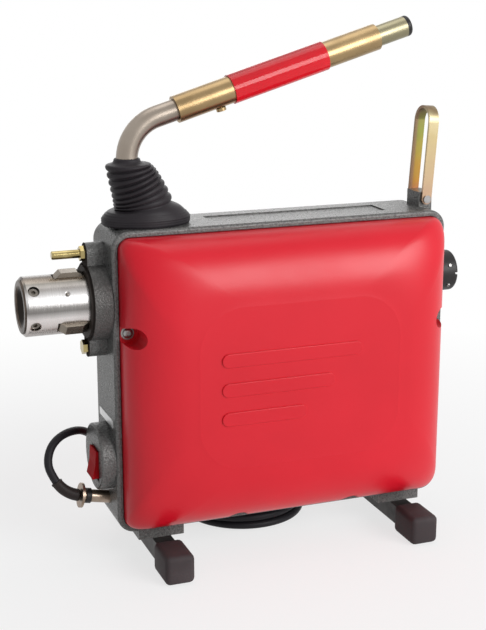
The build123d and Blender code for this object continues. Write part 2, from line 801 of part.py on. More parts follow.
def cover_screws():
    """Button-head screws in the pockets of both covers."""
    screws = []
    head_y = -COVER_FACE_Y - COVER_SCREW_HEAD_H
    for x, z in cover_screw_places():
        screw = y_bar(COVER_SCREW_HEAD_R, head_y, -COVER_FACE_Y, x, z)
        screw = fillet(screw.edges().group_by(Axis.Y)[0], COVER_SCREW_HEAD_H / 2)
        screw += y_bar(COVER_SCREW_R, -COVER_FACE_Y, -COVER_FACE_Y + COVER_SCREW_L, x, z)
        socket = extrude(Plane.XZ * RegularPolygon(COVER_SCREW_SOCKET_R, 6), COVER_SCREW_SOCKET_DEPTH)
        screw -= Pos(x, head_y + COVER_SCREW_SOCKET_DEPTH, z) * socket
        screws.append(screw)
        screws.append(mirror(screw, about=Plane.XZ))
    return group(screws)


# Spindle and its bearings
def ball_bearing(x_from):
    """A bearing as one ring, with a groove between its races on both faces."""
    x_to = x_from + BEARING_W
    bearing = x_ring(BEARING_R - FIT_GAP, SPINDLE_R + RUNNING_GAP, x_from, x_to)
    groove = x_ring(BEARING_R - BEARING_RACE_T, SPINDLE_R + BEARING_RACE_T, x_from, x_from + BEARING_RACE_DEPTH)
    bearing -= groove
    bearing -= Pos(BEARING_W - BEARING_RACE_DEPTH, 0, 0) * groove
    return on_axis(bearing)


def front_bearing():
    """The bearing behind the chuck."""
    return ball_bearing(BEARING_STOP - BEARING_W)


def rear_bearing():
    """The bearing at the hose coupling."""
    return ball_bearing(REAR_STOP - BEARING_W)


def hollow_spindle():
    """The tube that the drain cable runs through."""
    return on_axis(x_ring(SPINDLE_R, BORE_R, SPINDLE_FRONT, SPINDLE_REAR))


def front_bearing_housing():
    """The cast ring on the left wall, with a lug for the stud and one for the bolt."""
    housing = x_bar(HOUSING_R, HOUSING_FRONT, LEFT)
    for z in (STUD_RISE, -BOLT_DROP):
        housing += x_bar(LUG_R, HOUSING_FRONT, LEFT, z=z)
        housing += block(HOUSING_FRONT, LEFT, -LUG_R, LUG_R, min(z, 0), max(z, 0))
    housing -= x_bar(HOUSING_R - HOUSING_WALL, HOUSING_FRONT - OVERRUN, HOUSING_FLOOR)
    housing += x_bar(BEARING_R - FIT_GAP, LEFT - OVERRUN, LEFT + SPIGOT_L)
    housing -= x_bar(BEARING_SHOULDER_R, HOUSING_FRONT, LEFT + OVERRUN)
    housing -= x_bar(BEARING_R - SPIGOT_WALL, LEFT, LEFT + SPIGOT_L + OVERRUN)
    for y, z in push_pin_places():
        housing -= x_bar(PUSH_PIN_R + PUSH_PIN_GAP, HOUSING_FRONT, LEFT + OVERRUN, y, z)
    for z in (STUD_RISE, -BOLT_DROP):
        housing -= x_bar(STUD_R + FIT_GAP, HOUSING_FRONT - OVERRUN, LEFT + OVERRUN, z=z)
    return on_axis(housing)


def spindle_seal():
    """A felt ring in the housing's back wall."""
    return on_axis(x_ring(BEARING_SHOULDER_R - FIT_GAP, SPINDLE_R + SEAT_GAP, HOUSING_FLOOR, LEFT))


def guide_stud():
    """The gold stud above the chuck that a guide hose is set on."""
    hex_front = HOUSING_FRONT - STUD_HEX_L
    stud = x_bar(STUD_R, hex_front - STUD_L, LEFT + STUD_ROOT, z=STUD_RISE)
    stud = chamfer(stud.edges().group_by(Axis.X)[0], STUD_CHAMFER)
    return on_axis(stud + hex_bar(STUD_HEX, hex_front, HOUSING_FRONT, STUD_RISE))


def flange_bolt():
    """The hexagon bolt in the housing's lower lug."""
    bolt = hex_bar(STUD_HEX, HOUSING_FRONT - BOLT_HEX_L, HOUSING_FRONT, -BOLT_DROP)
    return on_axis(bolt + x_bar(STUD_R, HOUSING_FRONT, LEFT + STUD_ROOT, z=-BOLT_DROP))


# Chuck
def jaw_outline():
    """Side view of a jaw: X along the spindle, Y out from its axis."""
    top_r = CHUCK_R + JAW_PROUD
    slope_r = math.sqrt((SLEEVE_IN_R - LOOSE_GAP)**2 - (JAW_W / 2)**2)
    top_rear = SLEEVE_FRONT - (top_r - slope_r) / JAW_SLOPE
    top_front = top_rear - JAW_TOP_L
    heel = SPINDLE_FRONT - JAW_TAIL_GAP
    tail = heel + JAW_TAIL_L
    return [
        (top_front - JAW_FRONT_L, JAW_OPEN_R),
        (top_front - JAW_FRONT_L, top_r - JAW_FRONT_L),
        (top_front, top_r),
        (top_rear, top_r),
        (tail, top_r - (tail - top_rear) * JAW_SLOPE),
        (tail, JAW_TAIL_R),
        (heel, JAW_TAIL_R),
        (heel, JAW_OPEN_R),
    ]


def jaw(degrees):
    """A jaw at an angle round the spindle, drawn open."""
    outline = make_face(Polyline(*jaw_outline(), close=True))
    solid = extrude(Plane.XZ * outline, JAW_W / 2, both=True)
    return on_axis(round_axis(solid, degrees))


def chuck_body():
    """The steel body with its bore, jaw slots and screw recesses."""
    body = x_bar(CHUCK_R, CHUCK_FRONT, CHUCK_REAR)
    body = chamfer(body.edges().group_by(Axis.X)[0], CHUCK_CHAMFER)
    body -= x_bar(BORE_R, CHUCK_FRONT - OVERRUN, CHUCK_REAR + OVERRUN)
    body -= x_bar(SPINDLE_R + FIT_GAP, SPINDLE_FRONT, CHUCK_REAR + OVERRUN)
    outline = jaw_outline()
    front = outline[0][0] - LOOSE_GAP
    tail = outline[4][0] + LOOSE_GAP
    half = JAW_W / 2 + LOOSE_GAP
    slot = block(front, tail, -half, half, 0, CHUCK_R + OVERRUN)
    for degrees in JAW_ANGLES:
        body -= round_axis(slot, degrees)
    return on_axis(body - chuck_recesses() - chuck_mouth())


def chuck_mouth():
    """The cone that leads a cable into the bore."""
    cone = Rot(0, 90, 0) * Cone(MOUTH_R, BORE_R, MOUTH_L)
    return Pos(CHUCK_FRONT - COLLAR_L + MOUTH_L / 2, 0, 0) * cone


def chuck_recesses():
    """Stepped holes for the socket screws, and holes for the pins."""
    x = CHUCK_FRONT + CHUCK_SCREW_X
    head_floor = CHUCK_R - CHUCK_SCREW_SUNK - CHUCK_SCREW_HEAD_L
    screw_hole = z_bar(CHUCK_SCREW_RECESS_R, head_floor, CHUCK_R + OVERRUN, x)
    screw_hole += z_bar(CHUCK_SCREW_R + FIT_GAP, head_floor - CHUCK_SCREW_L, head_floor, x)
    pin_x = CHUCK_FRONT + CHUCK_PIN_X
    pin_hole = z_bar(CHUCK_PIN_R + FIT_GAP, CHUCK_R - CHUCK_PIN_L, CHUCK_R + OVERRUN, pin_x)
    pin_hole += z_bar(CHUCK_PIN_RECESS_R, CHUCK_R - CHUCK_PIN_RECESS, CHUCK_R + OVERRUN, pin_x)
    holes = [round_axis(screw_hole, degrees) for degrees in chuck_screw_angles()]
    return holes + [round_axis(pin_hole, degrees) for degrees in chuck_pin_angles()]


def chuck_screw_angles():
    """Angles of the socket screws."""
    return [CHUCK_SCREW_ANGLE + 360 / CHUCK_SCREWS * turn for turn in range(CHUCK_SCREWS)]


def chuck_pin_angles():
    """Angles of the pins."""
    return [CHUCK_PIN_ANGLE + 360 / CHUCK_PINS * turn for turn in range(CHUCK_PINS)]


def chuck_collar():
    """The dark ring at the chuck's mouth."""
    collar = x_bar(COLLAR_R, CHUCK_FRONT - COLLAR_L, CHUCK_FRONT)
    collar = chamfer(collar.edges().group_by(Axis.X)[0], COLLAR_CHAMFER)
    return on_axis(collar - chuck_mouth())


def chuck_screws():
    """Socket screws round the chuck."""
    x = CHUCK_FRONT + CHUCK_SCREW_X
    head_top = CHUCK_R - CHUCK_SCREW_SUNK
    head_floor = head_top - CHUCK_SCREW_HEAD_L
    screw = z_bar(CHUCK_SCREW_HEAD_R, head_floor, head_top, x)
    screw += z_bar(CHUCK_SCREW_R, head_floor - CHUCK_SCREW_L, head_floor, x)
    socket = extrude(RegularPolygon(CHUCK_SCREW_SOCKET_R, 6), CHUCK_SCREW_SOCKET_DEPTH + OVERRUN)
    screw -= Pos(x, 0, head_top - CHUCK_SCREW_SOCKET_DEPTH) * socket
    return group([on_axis(round_axis(screw, degrees)) for degrees in chuck_screw_angles()])


def chuck_pins():
    """Round pins set in the chuck."""
    pin = z_bar(CHUCK_PIN_R, CHUCK_R - CHUCK_PIN_L, CHUCK_R, CHUCK_FRONT + CHUCK_PIN_X)
    pin = fillet(pin.edges().group_by(Axis.Z)[-1], CHUCK_PIN_ROUND)
    return group([on_axis(round_axis(pin, degrees)) for degrees in chuck_pin_angles()])


def pressure_sleeve():
    """The sliding ring that presses the jaws inwards."""
    return on_axis(x_ring(SLEEVE_OUT_R, SLEEVE_IN_R, SLEEVE_FRONT, SLEEVE_REAR))


# Linkage
def thrust_ring():
    """The ring round the spindle that the lever's fork pushes, with a trunnion on each side."""
    ring = x_bar(RING_R, -RING_T / 2, RING_T / 2)
    ring &= block(-RING_T, RING_T, -RING_R, RING_R, -RING_FLAT, RING_FLAT)
    bar_y = FORK_ARM_GAP / 2 - RING_BAR_GAP
    ring += block(-RING_T / 2, RING_T / 2, -bar_y, bar_y, -RING_BAR_HALF_H, RING_BAR_HALF_H)
    ring += y_bar(TRUNNION_R, -FORK_OUT_Y, FORK_OUT_Y)
    ring -= x_bar(SPINDLE_R + RING_BORE_GAP, -RING_T, RING_T)
    ring = Pos(RING_X, 0, 0) * ring
    for y, z in push_pin_places():
        ring -= x_bar(PUSH_PIN_R + FIT_GAP, RING_LEFT - OVERRUN, RING_LEFT + PUSH_PIN_ROOT, y, z)
    return on_axis(ring)


def push_pins():
    """Pins from the thrust ring through the wall to the pressure sleeve."""
    tip = SLEEVE_REAR + LOOSE_GAP
    return group([on_axis(x_bar(PUSH_PIN_R, tip, RING_LEFT + PUSH_PIN_ROOT, y, z)) for y, z in push_pin_places()])


def spring_path():
    """Centre line of the return spring, in quarter turns round the spindle."""
    start = BOSS_END + SPRING_WIRE_R + SPRING_END_GAP
    end = RING_LEFT - SPRING_WIRE_R - SPRING_END_GAP
    count = 4 * SPRING_TURNS
    climb = (end - start) / (SPRING_TURNS * 2 * math.pi)
    points = []
    tangents = []
    for quarter in range(count + 1):
        angle = quarter * math.pi / 2
        points.append(Vector(start + climb * angle, SPRING_R * math.cos(angle), SPRING_R * math.sin(angle)))
        tangents.append(Vector(climb, -SPRING_R * math.sin(angle), SPRING_R * math.cos(angle)).normalized())
    return Wire(biarcs(points, tangents))


def return_spring():
    """The spring that pushes the thrust ring back."""
    path = spring_path()
    print("return spring: least gap to itself", round(least_gap(path, SPRING_WIRE_R, 4 * SPRING_R), 2))
    return on_axis(swept_tube(path, SPRING_WIRE_R))


# Lever
def lever_place():
    """The lever's own frame: up along its foot, with its grip along X."""
    return Pos(PIVOT_X, 0, PIVOT_Z) * Rot(0, -LEVER_LEAN, 0)


def lever_fork():
    """The hub on the pivot pin, the socket of the tube and the two arms of the fork."""
    hub_y = EAR_GAP / 2 - LOOSE_GAP
    bridge_low = -FORK_BRIDGE_DROP - FORK_BRIDGE_H
    arms = block(-FORK_BRIDGE_HALF_W, FORK_BRIDGE_HALF_W, -FORK_OUT_Y, FORK_OUT_Y, bridge_low, -FORK_BRIDGE_DROP)
    arms += block(-FORK_BRIDGE_HALF_W, FORK_BRIDGE_HALF_W, -hub_y, hub_y, -FORK_BRIDGE_DROP, 0)
    tip = -PIVOT_RISE - FORK_TAIL
    arm = block(-FORK_ARM_HALF_W, FORK_ARM_HALF_W, FORK_ARM_GAP / 2, FORK_OUT_Y, tip, -FORK_BRIDGE_DROP)
    slot_half = TRUNNION_R + TRUNNION_GAP
    arm -= block(-slot_half, slot_half, 0, FORK_OUT_Y + OVERRUN,
                 tip - OVERRUN, -PIVOT_RISE + TRUNNION_R + 2 * LOOSE_GAP)
    arms += arm + mirror(arm, about=Plane.XZ)
    fork = Pos(PIVOT_X, 0, PIVOT_Z) * Rot(0, -HALF_SWING, 0) * arms
    socket = z_bar(HUB_SOCKET_R, HUB_R / 2, HUB_SOCKET_H)
    socket -= z_bar(LEVER_TUBE_R + FIT_GAP, LEVER_TUBE_ROOT, HUB_SOCKET_H + OVERRUN)
    fork += lever_place() * (socket + y_bar(HUB_R, -hub_y, hub_y))
    return fork - y_bar(PIVOT_PIN_R + RUNNING_GAP, -HALF_D, HALF_D, PIVOT_X, PIVOT_Z)


def lever_pivot_pin():
    """The pin through the casting's ears."""
    end = EAR_GAP / 2 + EAR_T
    return y_bar(PIVOT_PIN_R, -end, end, PIVOT_X, PIVOT_Z)


def lever_path():
    """Centre line of the lever's tube, in the lever's own frame."""
    corner = (0, 0, LEVER_RISE)
    end = (LEVER_REACH - END_CAP_L, 0, LEVER_RISE)
    return FilletPolyline((0, 0, LEVER_TUBE_ROOT), corner, end, radius=LEVER_BEND_R)


def lever_tube():
    """The bent tube from the fork to the end of the grip."""
    path = lever_path()
    ring = Circle(LEVER_TUBE_R) - Circle(LEVER_TUBE_R - LEVER_TUBE_WALL)
    section = Plane(origin=path @ 0, z_dir=path % 0) * ring
    return lever_place() * (sweep(section, path=path) - grip_screw_hole())


def grip_ring(outer, inner, start, length):
    """A ring on the straight part of the lever."""
    return Pos(0, 0, LEVER_RISE) * x_ring(outer, inner, start, start + length)


def grip_tube():
    """The gold tube over the lever's straight part."""
    tube = grip_ring(GRIP_TUBE_R, LEVER_TUBE_R + FIT_GAP, GRIP_TUBE_START, GRIP_TUBE_L)
    return lever_place() * (tube - grip_screw_hole())


def grip_sleeve():
    """The red sleeve that the hand holds."""
    return lever_place() * grip_ring(GRIP_SLEEVE_R, GRIP_TUBE_R + FIT_GAP, GRIP_SLEEVE_START, GRIP_SLEEVE_L)


def grip_screw_hole():
    """The hole of the grip screw, from below into the tube."""
    return z_bar(GRIP_SCREW_R + FIT_GAP, LEVER_RISE - 2 * GRIP_TUBE_R, LEVER_RISE, GRIP_SCREW_X)


def grip_screw():
    """The screw under the grip that holds its tube."""
    low = LEVER_RISE - GRIP_TUBE_R
    head = z_bar(GRIP_SCREW_HEAD_R, low - GRIP_SCREW_HEAD_H, low - FIT_GAP, GRIP_SCREW_X)
    inner = LEVER_RISE - LEVER_TUBE_R + LEVER_TUBE_WALL
    return lever_place() * (head + z_bar(GRIP_SCREW_R, low - FIT_GAP, inner, GRIP_SCREW_X))


def lever_end_cap():
    """The black cap in the lever's end."""
    start = LEVER_REACH - END_CAP_L
    cap = x_bar(LEVER_TUBE_R, start, LEVER_REACH)
    cap = fillet(cap.edges().group_by(Axis.X)[-1], END_CAP_ROUND)
    cap += x_bar(LEVER_TUBE_R - LEVER_TUBE_WALL - FIT_GAP, start - END_CAP_PLUG_L, start)
    return lever_place() * Pos(0, 0, LEVER_RISE) * cap


# Boot
def collar_plane(run):
    """The plane square to the lever's tube after a run along it, in the lever's own frame."""
    path = lever_path()
    origin = path.position_at(run, position_mode=PositionMode.LENGTH)
    along = path.tangent_at(run, position_mode=PositionMode.LENGTH)
    return Plane(origin=origin, x_dir=(along.Z, 0, -along.X), z_dir=along)


def collar_section(run, radius):
    """A circle of the boot's collar, square to the lever's tube."""
    return lever_place() * (collar_plane(run) * Circle(radius))


def boot_across(radius):
    """Half-width of the boot across the casting, where its oval foot is the narrower way."""
    share = max(radius - BOOT_WAIST_R, 0) / (BOOT_LIP_R - BOOT_WAIST_R)
    return min(radius, BOOT_WAIST_R) + (BOOT_SIDE_R - BOOT_WAIST_R) * share


def boot_section(rise, radius, inset=0):
    """An oval of the boot at a height above the casting, leaning over to its collar."""
    collar = (lever_place() * collar_plane(BOOT_COLLAR_RUN).location).position
    share = max(rise - BOOT_BEND_RISE, 0) / (collar.Z - TOP_Z - BOOT_BEND_RISE)
    x = BOOT_X + (collar.X - BOOT_X) * share
    tilt = math.radians(BOOT_TILT) * math.sin(math.pi * min(share, 1))
    x_dir = (math.cos(tilt), 0, math.sin(tilt))
    z_dir = (-math.sin(tilt), 0, math.cos(tilt))
    oval = Ellipse(radius - inset, boot_across(radius) - inset)
    return Plane(origin=(x, 0, TOP_Z + rise), x_dir=x_dir, z_dir=z_dir) * oval


def boot_rib_radius(rib):
    """Crest radius of a rib, counted from the lowest."""
    return BOOT_LOW_RIB_R + (BOOT_TOP_RIB_R - BOOT_LOW_RIB_R) * rib / (BOOT_RIBS - 1)


def boot_outside():
    """Height and half-length of the ovals up the outside of the boot."""
    rings = [
        (0, BOOT_FOOT_R),
        (BOOT_LIP_LOW, BOOT_LIP_R),
        (BOOT_LIP_HIGH, BOOT_LIP_R),
        (BOOT_CROWN_RISE, BOOT_CROWN_R),
        (BOOT_SHOULDER_RISE, BOOT_SHOULDER_R),
        (BOOT_WAIST_RISE, BOOT_WAIST_R),
    ]
    for rib in range(BOOT_RIBS):
        crest = boot_rib_radius(rib)
        valley = crest - BOOT_RIB_DEPTH
        for share, radius in ((-0.4, valley), (-0.15, crest), (0.15, crest), (0.4, valley)):
            rings.append((BOOT_RIB_RISE + (rib + share) * BOOT_RIB_PITCH, radius))
    return rings


def boot_inside():
    """Height, half-length of the outside and depth under it, for the ovals up the boot's bore."""
    deep = BOOT_RIB_DEPTH + BOOT_WALL
    last_rise = BOOT_RIB_RISE + (BOOT_RIBS - 1) * BOOT_RIB_PITCH
    return [
        (-OVERRUN, BOOT_CROWN_R, BOOT_WALL),
        (BOOT_LIP_HIGH, BOOT_CROWN_R, BOOT_WALL),
        (BOOT_SHOULDER_RISE - BOOT_WALL, BOOT_SHOULDER_R, BOOT_WALL),
        (BOOT_WAIST_RISE, BOOT_WAIST_R, BOOT_WALL),
        (BOOT_RIB_RISE, BOOT_LOW_RIB_R, deep),
        (last_rise, BOOT_TOP_RIB_R, deep),
    ]


def lever_boot():
    """The ribbed rubber boot on the slot of the lever."""
    top = BOOT_COLLAR_RUN + BOOT_COLLAR_H
    bore = LEVER_TUBE_R + LOOSE_GAP
    outside = [boot_section(rise, radius) for rise, radius in boot_outside()]
    outside += [collar_section(run, BOOT_COLLAR_R) for run in (BOOT_COLLAR_RUN, top)]
    inside = [boot_section(rise, radius, inset) for rise, radius, inset in boot_inside()]
    inside += [collar_section(run, bore) for run in (BOOT_COLLAR_RUN, top + OVERRUN)]
    return loft(outside, ruled=True) - loft(inside, ruled=True)


# Belt drive and motor
def grooved_pulley(groove_r, bore_r):
    """A pulley with a square groove, about the X axis."""
    half = PULLEY_W / 2
    groove = BELT_W / 2 + LOOSE_GAP
    pulley = x_bar(groove_r + GROOVE_DEPTH, PULLEY_X - half, PULLEY_X + half)
    pulley -= x_ring(groove_r + 2 * GROOVE_DEPTH, groove_r, PULLEY_X - groove, PULLEY_X + groove)
    return pulley - x_bar(bore_r + FIT_GAP, PULLEY_X - PULLEY_W, PULLEY_X + PULLEY_W)


def spindle_pulley():
    """The large pulley on the spindle, with a thin web."""
    pulley = grooved_pulley(SPINDLE_GROOVE_R, SPINDLE_R)
    web_r = SPINDLE_GROOVE_R - PULLEY_RIM_T
    half = PULLEY_W / 2
    pulley -= x_ring(web_r, PULLEY_HUB_R, PULLEY_X - half - OVERRUN, PULLEY_X - half + PULLEY_WEB_DEPTH)
    pulley -= x_ring(web_r, PULLEY_HUB_R, PULLEY_X + half - PULLEY_WEB_DEPTH, PULLEY_X + half + OVERRUN)
    return on_axis(pulley)


def motor_pulley():
    """The small pulley on the motor's shaft."""
    return Pos(0, 0, MOTOR_Z) * grooved_pulley(MOTOR_GROOVE_R, MOTOR_SHAFT_R)


def belt_loop(extra):
    """The outline round both pulleys, outside their grooves by an extra."""
    large = Pos(0, AXIS_Z) * Circle(SPINDLE_GROOVE_R + LOOSE_GAP + extra)
    small = Pos(0, MOTOR_Z) * Circle(MOTOR_GROOVE_R + LOOSE_GAP + extra)
    return Plane.YZ * make_hull(large.edges() + small.edges())


def drive_belt():
    """The belt round both pulleys."""
    belt = extrude(belt_loop(BELT_T) - belt_loop(0), BELT_W)
    return Pos(PULLEY_X - BELT_W / 2, 0, 0) * belt


def motor_housing():
    """The stator in its round housing."""
    return Pos(0, 0, MOTOR_Z) * x_ring(MOTOR_R, STATOR_BORE_R, STATOR_LEFT, STATOR_RIGHT)


def end_bell():
    """A cup-shaped end shield, open towards +X, that starts at X zero."""
    bell = x_bar(MOTOR_R, 0, END_BELL_L)
    bell -= x_ring(MOTOR_R - END_BELL_WALL, END_BELL_HUB_R, END_BELL_WALL, END_BELL_L + OVERRUN)
    return bell - x_bar(MOTOR_SHAFT_R + RUNNING_GAP, -OVERRUN, END_BELL_L + OVERRUN)


def motor_fan_end():
    """The end shield at the fan."""
    return Pos(STATOR_LEFT - END_BELL_L, 0, MOTOR_Z) * end_bell()


def motor_drive_end():
    """The end shield at the belt."""
    return Pos(STATOR_RIGHT + END_BELL_L, 0, MOTOR_Z) * mirror(end_bell(), about=Plane.YZ)


def motor_rotor():
    """The rotor core on its shaft."""
    core = x_bar(STATOR_BORE_R - ROTOR_GAP, STATOR_LEFT + ROTOR_END_GAP, STATOR_RIGHT - ROTOR_END_GAP)
    shaft = x_bar(MOTOR_SHAFT_R, FAN_LEFT - SHAFT_OVERHANG, PULLEY_X + PULLEY_W / 2 + SHAFT_OVERHANG)
    return Pos(0, 0, MOTOR_Z) * (core + shaft)


def motor_fan():
    """The cooling fan with flat blades."""
    fan = x_bar(FAN_HUB_R, FAN_LEFT, FAN_RIGHT)
    blade = block(FAN_LEFT, FAN_RIGHT, -FAN_BLADE_T / 2, FAN_BLADE_T / 2, MOTOR_SHAFT_R + FAN_BLADE_T, FAN_R)
    for step in range(FAN_BLADES):
        fan += Rot(step * 360 / FAN_BLADES, 0, 0) * blade
    fan -= x_bar(MOTOR_SHAFT_R + FIT_GAP, FAN_LEFT - OVERRUN, FAN_RIGHT + OVERRUN)
    return Pos(0, 0, MOTOR_Z) * fan


def motor_saddle():
    """The block on the casting's floor that the motor lies in."""
    saddle = block(SADDLE_X - SADDLE_L / 2, SADDLE_X + SADDLE_L / 2, -SADDLE_W / 2, SADDLE_W / 2,
                   FLOOR_Z, FLOOR_Z + SADDLE_H)
    saddle &= block(LEFT, RIGHT, -SADDLE_W, SADDLE_W, FLOOR_Z, MOTOR_Z)
    return saddle - x_bar(MOTOR_R + SEAT_GAP, LEFT, RIGHT, z=MOTOR_Z)


def run_capacitor():
    """The capacitor on top of the motor."""
    z = MOTOR_Z + MOTOR_R + CAPACITOR_R + SEAT_GAP
    return x_bar(CAPACITOR_R, MOTOR_X - CAPACITOR_L / 2, MOTOR_X + CAPACITOR_L / 2, z=z)


# Hose coupling
def coupling_washer():
    """The grey washer between the wall and the coupling."""
    return on_axis(x_ring(WASHER_R, COUPLING_BORE_R, RIGHT, RIGHT + WASHER_L))


def hose_coupling():
    """The black bayonet coupling for a guide hose."""
    coupling = x_bar(COUPLING_R, RIGHT + WASHER_L, COUPLING_END)
    coupling = fillet(coupling.edges().group_by(Axis.X)[-1], COUPLING_ROUND)
    coupling += x_bar(COUPLING_BASE_R, RIGHT + WASHER_L, RIGHT + WASHER_L + COUPLING_BASE_L)
    coupling -= x_bar(COUPLING_BORE_R, RIGHT, COUPLING_END + OVERRUN)
    slot = block(COUPLING_END - COUPLING_SLOT_L, COUPLING_END + OVERRUN,
                 -COUPLING_SLOT_W / 2, COUPLING_SLOT_W / 2, 0, COUPLING_R + OVERRUN)
    for turn in range(COUPLING_SLOTS):
        coupling -= round_axis(slot, turn * 360 / COUPLING_SLOTS)
    return on_axis(coupling)


# Switch and rating plate
def switch_frame():
    """The dark frame in the boss that the rocker turns in."""
    half_w = SWITCH_W / 2 - FIT_GAP
    half_h = SWITCH_H / 2 - FIT_GAP
    frame = block(SWITCH_FACE, SWITCH_FACE + SWITCH_FRAME_L, -half_w, half_w, -half_h, half_h)
    in_w = SWITCH_W / 2 - SWITCH_FRAME_WALL
    in_h = SWITCH_H / 2 - SWITCH_FRAME_WALL
    frame -= block(SWITCH_FACE - OVERRUN, SWITCH_FACE + SWITCH_FRAME_L + OVERRUN, -in_w, in_w, -in_h, in_h)
    frame -= y_bar(ROCKER_PIN_R + RUNNING_GAP, -SWITCH_W, SWITCH_W, ROCKER_X)
    return Pos(0, SWITCH_Y, SWITCH_Z) * frame


def switch_rocker():
    """The red rocker, drawn with its lower end out."""
    half_w = SWITCH_W / 2 - SWITCH_FRAME_WALL - ROCKER_GAP
    half_h = ROCKER_H / 2
    back_h = ROCKER_BACK_H / 2
    outline = [(-ROCKER_END, half_h), (-ROCKER_MID, 0), (-ROCKER_END, -half_h),
               (ROCKER_BACK, -back_h), (ROCKER_BACK, back_h)]
    rocker = extrude(Plane.XZ * make_face(Polyline(*outline, close=True)), half_w, both=True)
    rocker += y_bar(ROCKER_PIN_R, -SWITCH_W / 2 + FIT_GAP, SWITCH_W / 2 - FIT_GAP)
    return Pos(ROCKER_X, SWITCH_Y, SWITCH_Z) * Rot(0, ROCKER_TILT, 0) * rocker


def switch_module():
    """The switch's body behind its frame."""
    half_w = SWITCH_W / 2 - LOOSE_GAP
    half_h = SWITCH_H / 2 - LOOSE_GAP
    start = SWITCH_FACE + SWITCH_FRAME_L + LOOSE_GAP
    module = block(start, start + SWITCH_MODULE_L, -half_w, half_w, -half_h, half_h)
    return Pos(0, SWITCH_Y, SWITCH_Z) * module


def rating_plate():
    """A blank plate on the wall above the switch."""
    low = SWITCH_BOSS_Z + SWITCH_BOSS_R + PLATE_GAP
    return block(LEFT - PLATE_T, LEFT, -PLATE_L / 2, PLATE_L / 2, low, low + PLATE_H)


# Cable gland
def gland_place():
    """The gland's own frame: outwards along -X, tilted up."""
    return Pos(LEFT, 0, GLAND_Z) * Rot(0, GLAND_TILT, 0)


def cable_gland():
    """The barrel in the wall and its narrow neck."""
    barrel = x_bar(GLAND_R, -GLAND_BARREL_L, GLAND_ROOT)
    return gland_place() * (barrel + x_bar(GLAND_NECK_R, -GLAND_L, -GLAND_BARREL_L))


def gland_ring():
    """The black ring on the gland's neck."""
    end = -GLAND_BARREL_L - GLAND_RING_L
    return gland_place() * x_ring(GLAND_RING_R, GLAND_NECK_R + FIT_GAP, end, -GLAND_BARREL_L)


def gland_nut():
    """The disc nut at the gland's end."""
    return gland_place() * x_ring(GLAND_NUT_R, GLAND_NECK_R + FIT_GAP, -GLAND_L, -GLAND_L + GLAND_NUT_L)


def bend_sleeve_path():
    """Arc of the rubber sleeve, up and back from the gland."""
    turn = math.radians(BEND_SLEEVE_TURN)
    half = turn / 2
    end = (-GLAND_L - BEND_SLEEVE_BEND_R * math.sin(turn), 0, BEND_SLEEVE_BEND_R * (1 - math.cos(turn)))
    middle = (-GLAND_L - BEND_SLEEVE_BEND_R * math.sin(half), 0, BEND_SLEEVE_BEND_R * (1 - math.cos(half)))
    return gland_place() * Rot(-BEND_SLEEVE_ROLL, 0, 0) * ThreePointArc((-GLAND_L, 0, 0), middle, end)


def bend_sleeve():
    """The rubber sleeve that keeps the lead from kinking at the gland."""
    return swept_tube(bend_sleeve_path(), BEND_SLEEVE_R)


# Latch strap
def latch_strap():
    """A flat strap bent to a loop, on a pin at its foot."""
    out_y = STRAP_IN_Y + STRAP_T
    bend_z = STRAP_L - out_y
    outer = Pos(0, bend_z / 2) * Rectangle(2 * out_y, bend_z) + Pos(0, bend_z) * Circle(out_y)
    inner = Pos(0, bend_z / 2) * Rectangle(2 * STRAP_IN_Y, bend_z + OVERRUN) + Pos(0, bend_z) * Circle(STRAP_IN_Y)
    inner += Pos(0, -STRAP_W) * Rectangle(2 * STRAP_IN_Y, 2 * STRAP_W)
    strap = extrude(Plane.YZ * outer, STRAP_W / 2, both=True)
    strap += y_bar(STRAP_W / 2, -out_y, out_y)
    strap -= extrude(Plane.YZ * inner, STRAP_W, both=True)
    strap -= y_bar(STRAP_PIN_R + RUNNING_GAP, -2 * out_y, 2 * out_y)
    return Pos(STRAP_X, 0, STRAP_PIN_Z) * Rot(0, STRAP_LEAN, 0) * strap


def latch_pin():
    """The pin through the lug, with a head outside each leg of the strap."""
    out_y = STRAP_IN_Y + STRAP_T + LOOSE_GAP
    pin = y_bar(STRAP_PIN_R, -out_y, out_y)
    for side in (-1, 1):
        near = side * out_y
        far = side * (out_y + STRAP_PIN_HEAD_L)
        pin += y_bar(STRAP_PIN_HEAD_R, min(near, far), max(near, far))
    return Pos(STRAP_X, 0, STRAP_PIN_Z) * pin


# Mains lead
def coil_point(turned):
    """A point of the coil's centre line after an angle turned: in, up a layer and out again."""
    middle = COIL_TURNED / 2
    inner_r = COIL_R - COIL_STEP * middle / 360
    from_middle = abs(turned - middle)
    if from_middle >= COIL_ARC_DEG:
        radius = inner_r + COIL_STEP * from_middle / 360
    else:
        radius = inner_r + COIL_STEP * (COIL_ARC_DEG**2 + from_middle**2) / (2 * COIL_ARC_DEG * 360)
    share = min(max((turned - middle) / COIL_ARC_DEG, -1), 1) / 2 + 0.5
    height = COIL_LOW_Z + COIL_STEP * share**2 * (3 - 2 * share)
    angle = math.radians(COIL_START_DEG - turned)
    return Vector(COIL_X + radius * math.cos(angle), COIL_Y + radius * math.sin(angle), height)


def coil_tangent(turned):
    """Direction of the coil's centre line, level at both of its ends."""
    step = 0.01
    return (coil_point(turned + step) - coil_point(turned - step)).normalized()


def coil_path():
    """The coil's centre line, with a straight at each end."""
    turns = [COIL_ARC_DEG * arc for arc in range(COIL_ARCS + 1)]
    points = [coil_point(turned) for turned in turns]
    tangents = [coil_tangent(turned) for turned in turns]
    entry = Line(points[0] - tangents[0] * 2 * CORD_R, points[0])
    leave = Line(points[-1], points[-1] + tangents[-1] * COIL_TAIL)
    return Wire([entry, *biarcs(points, tangents), leave])


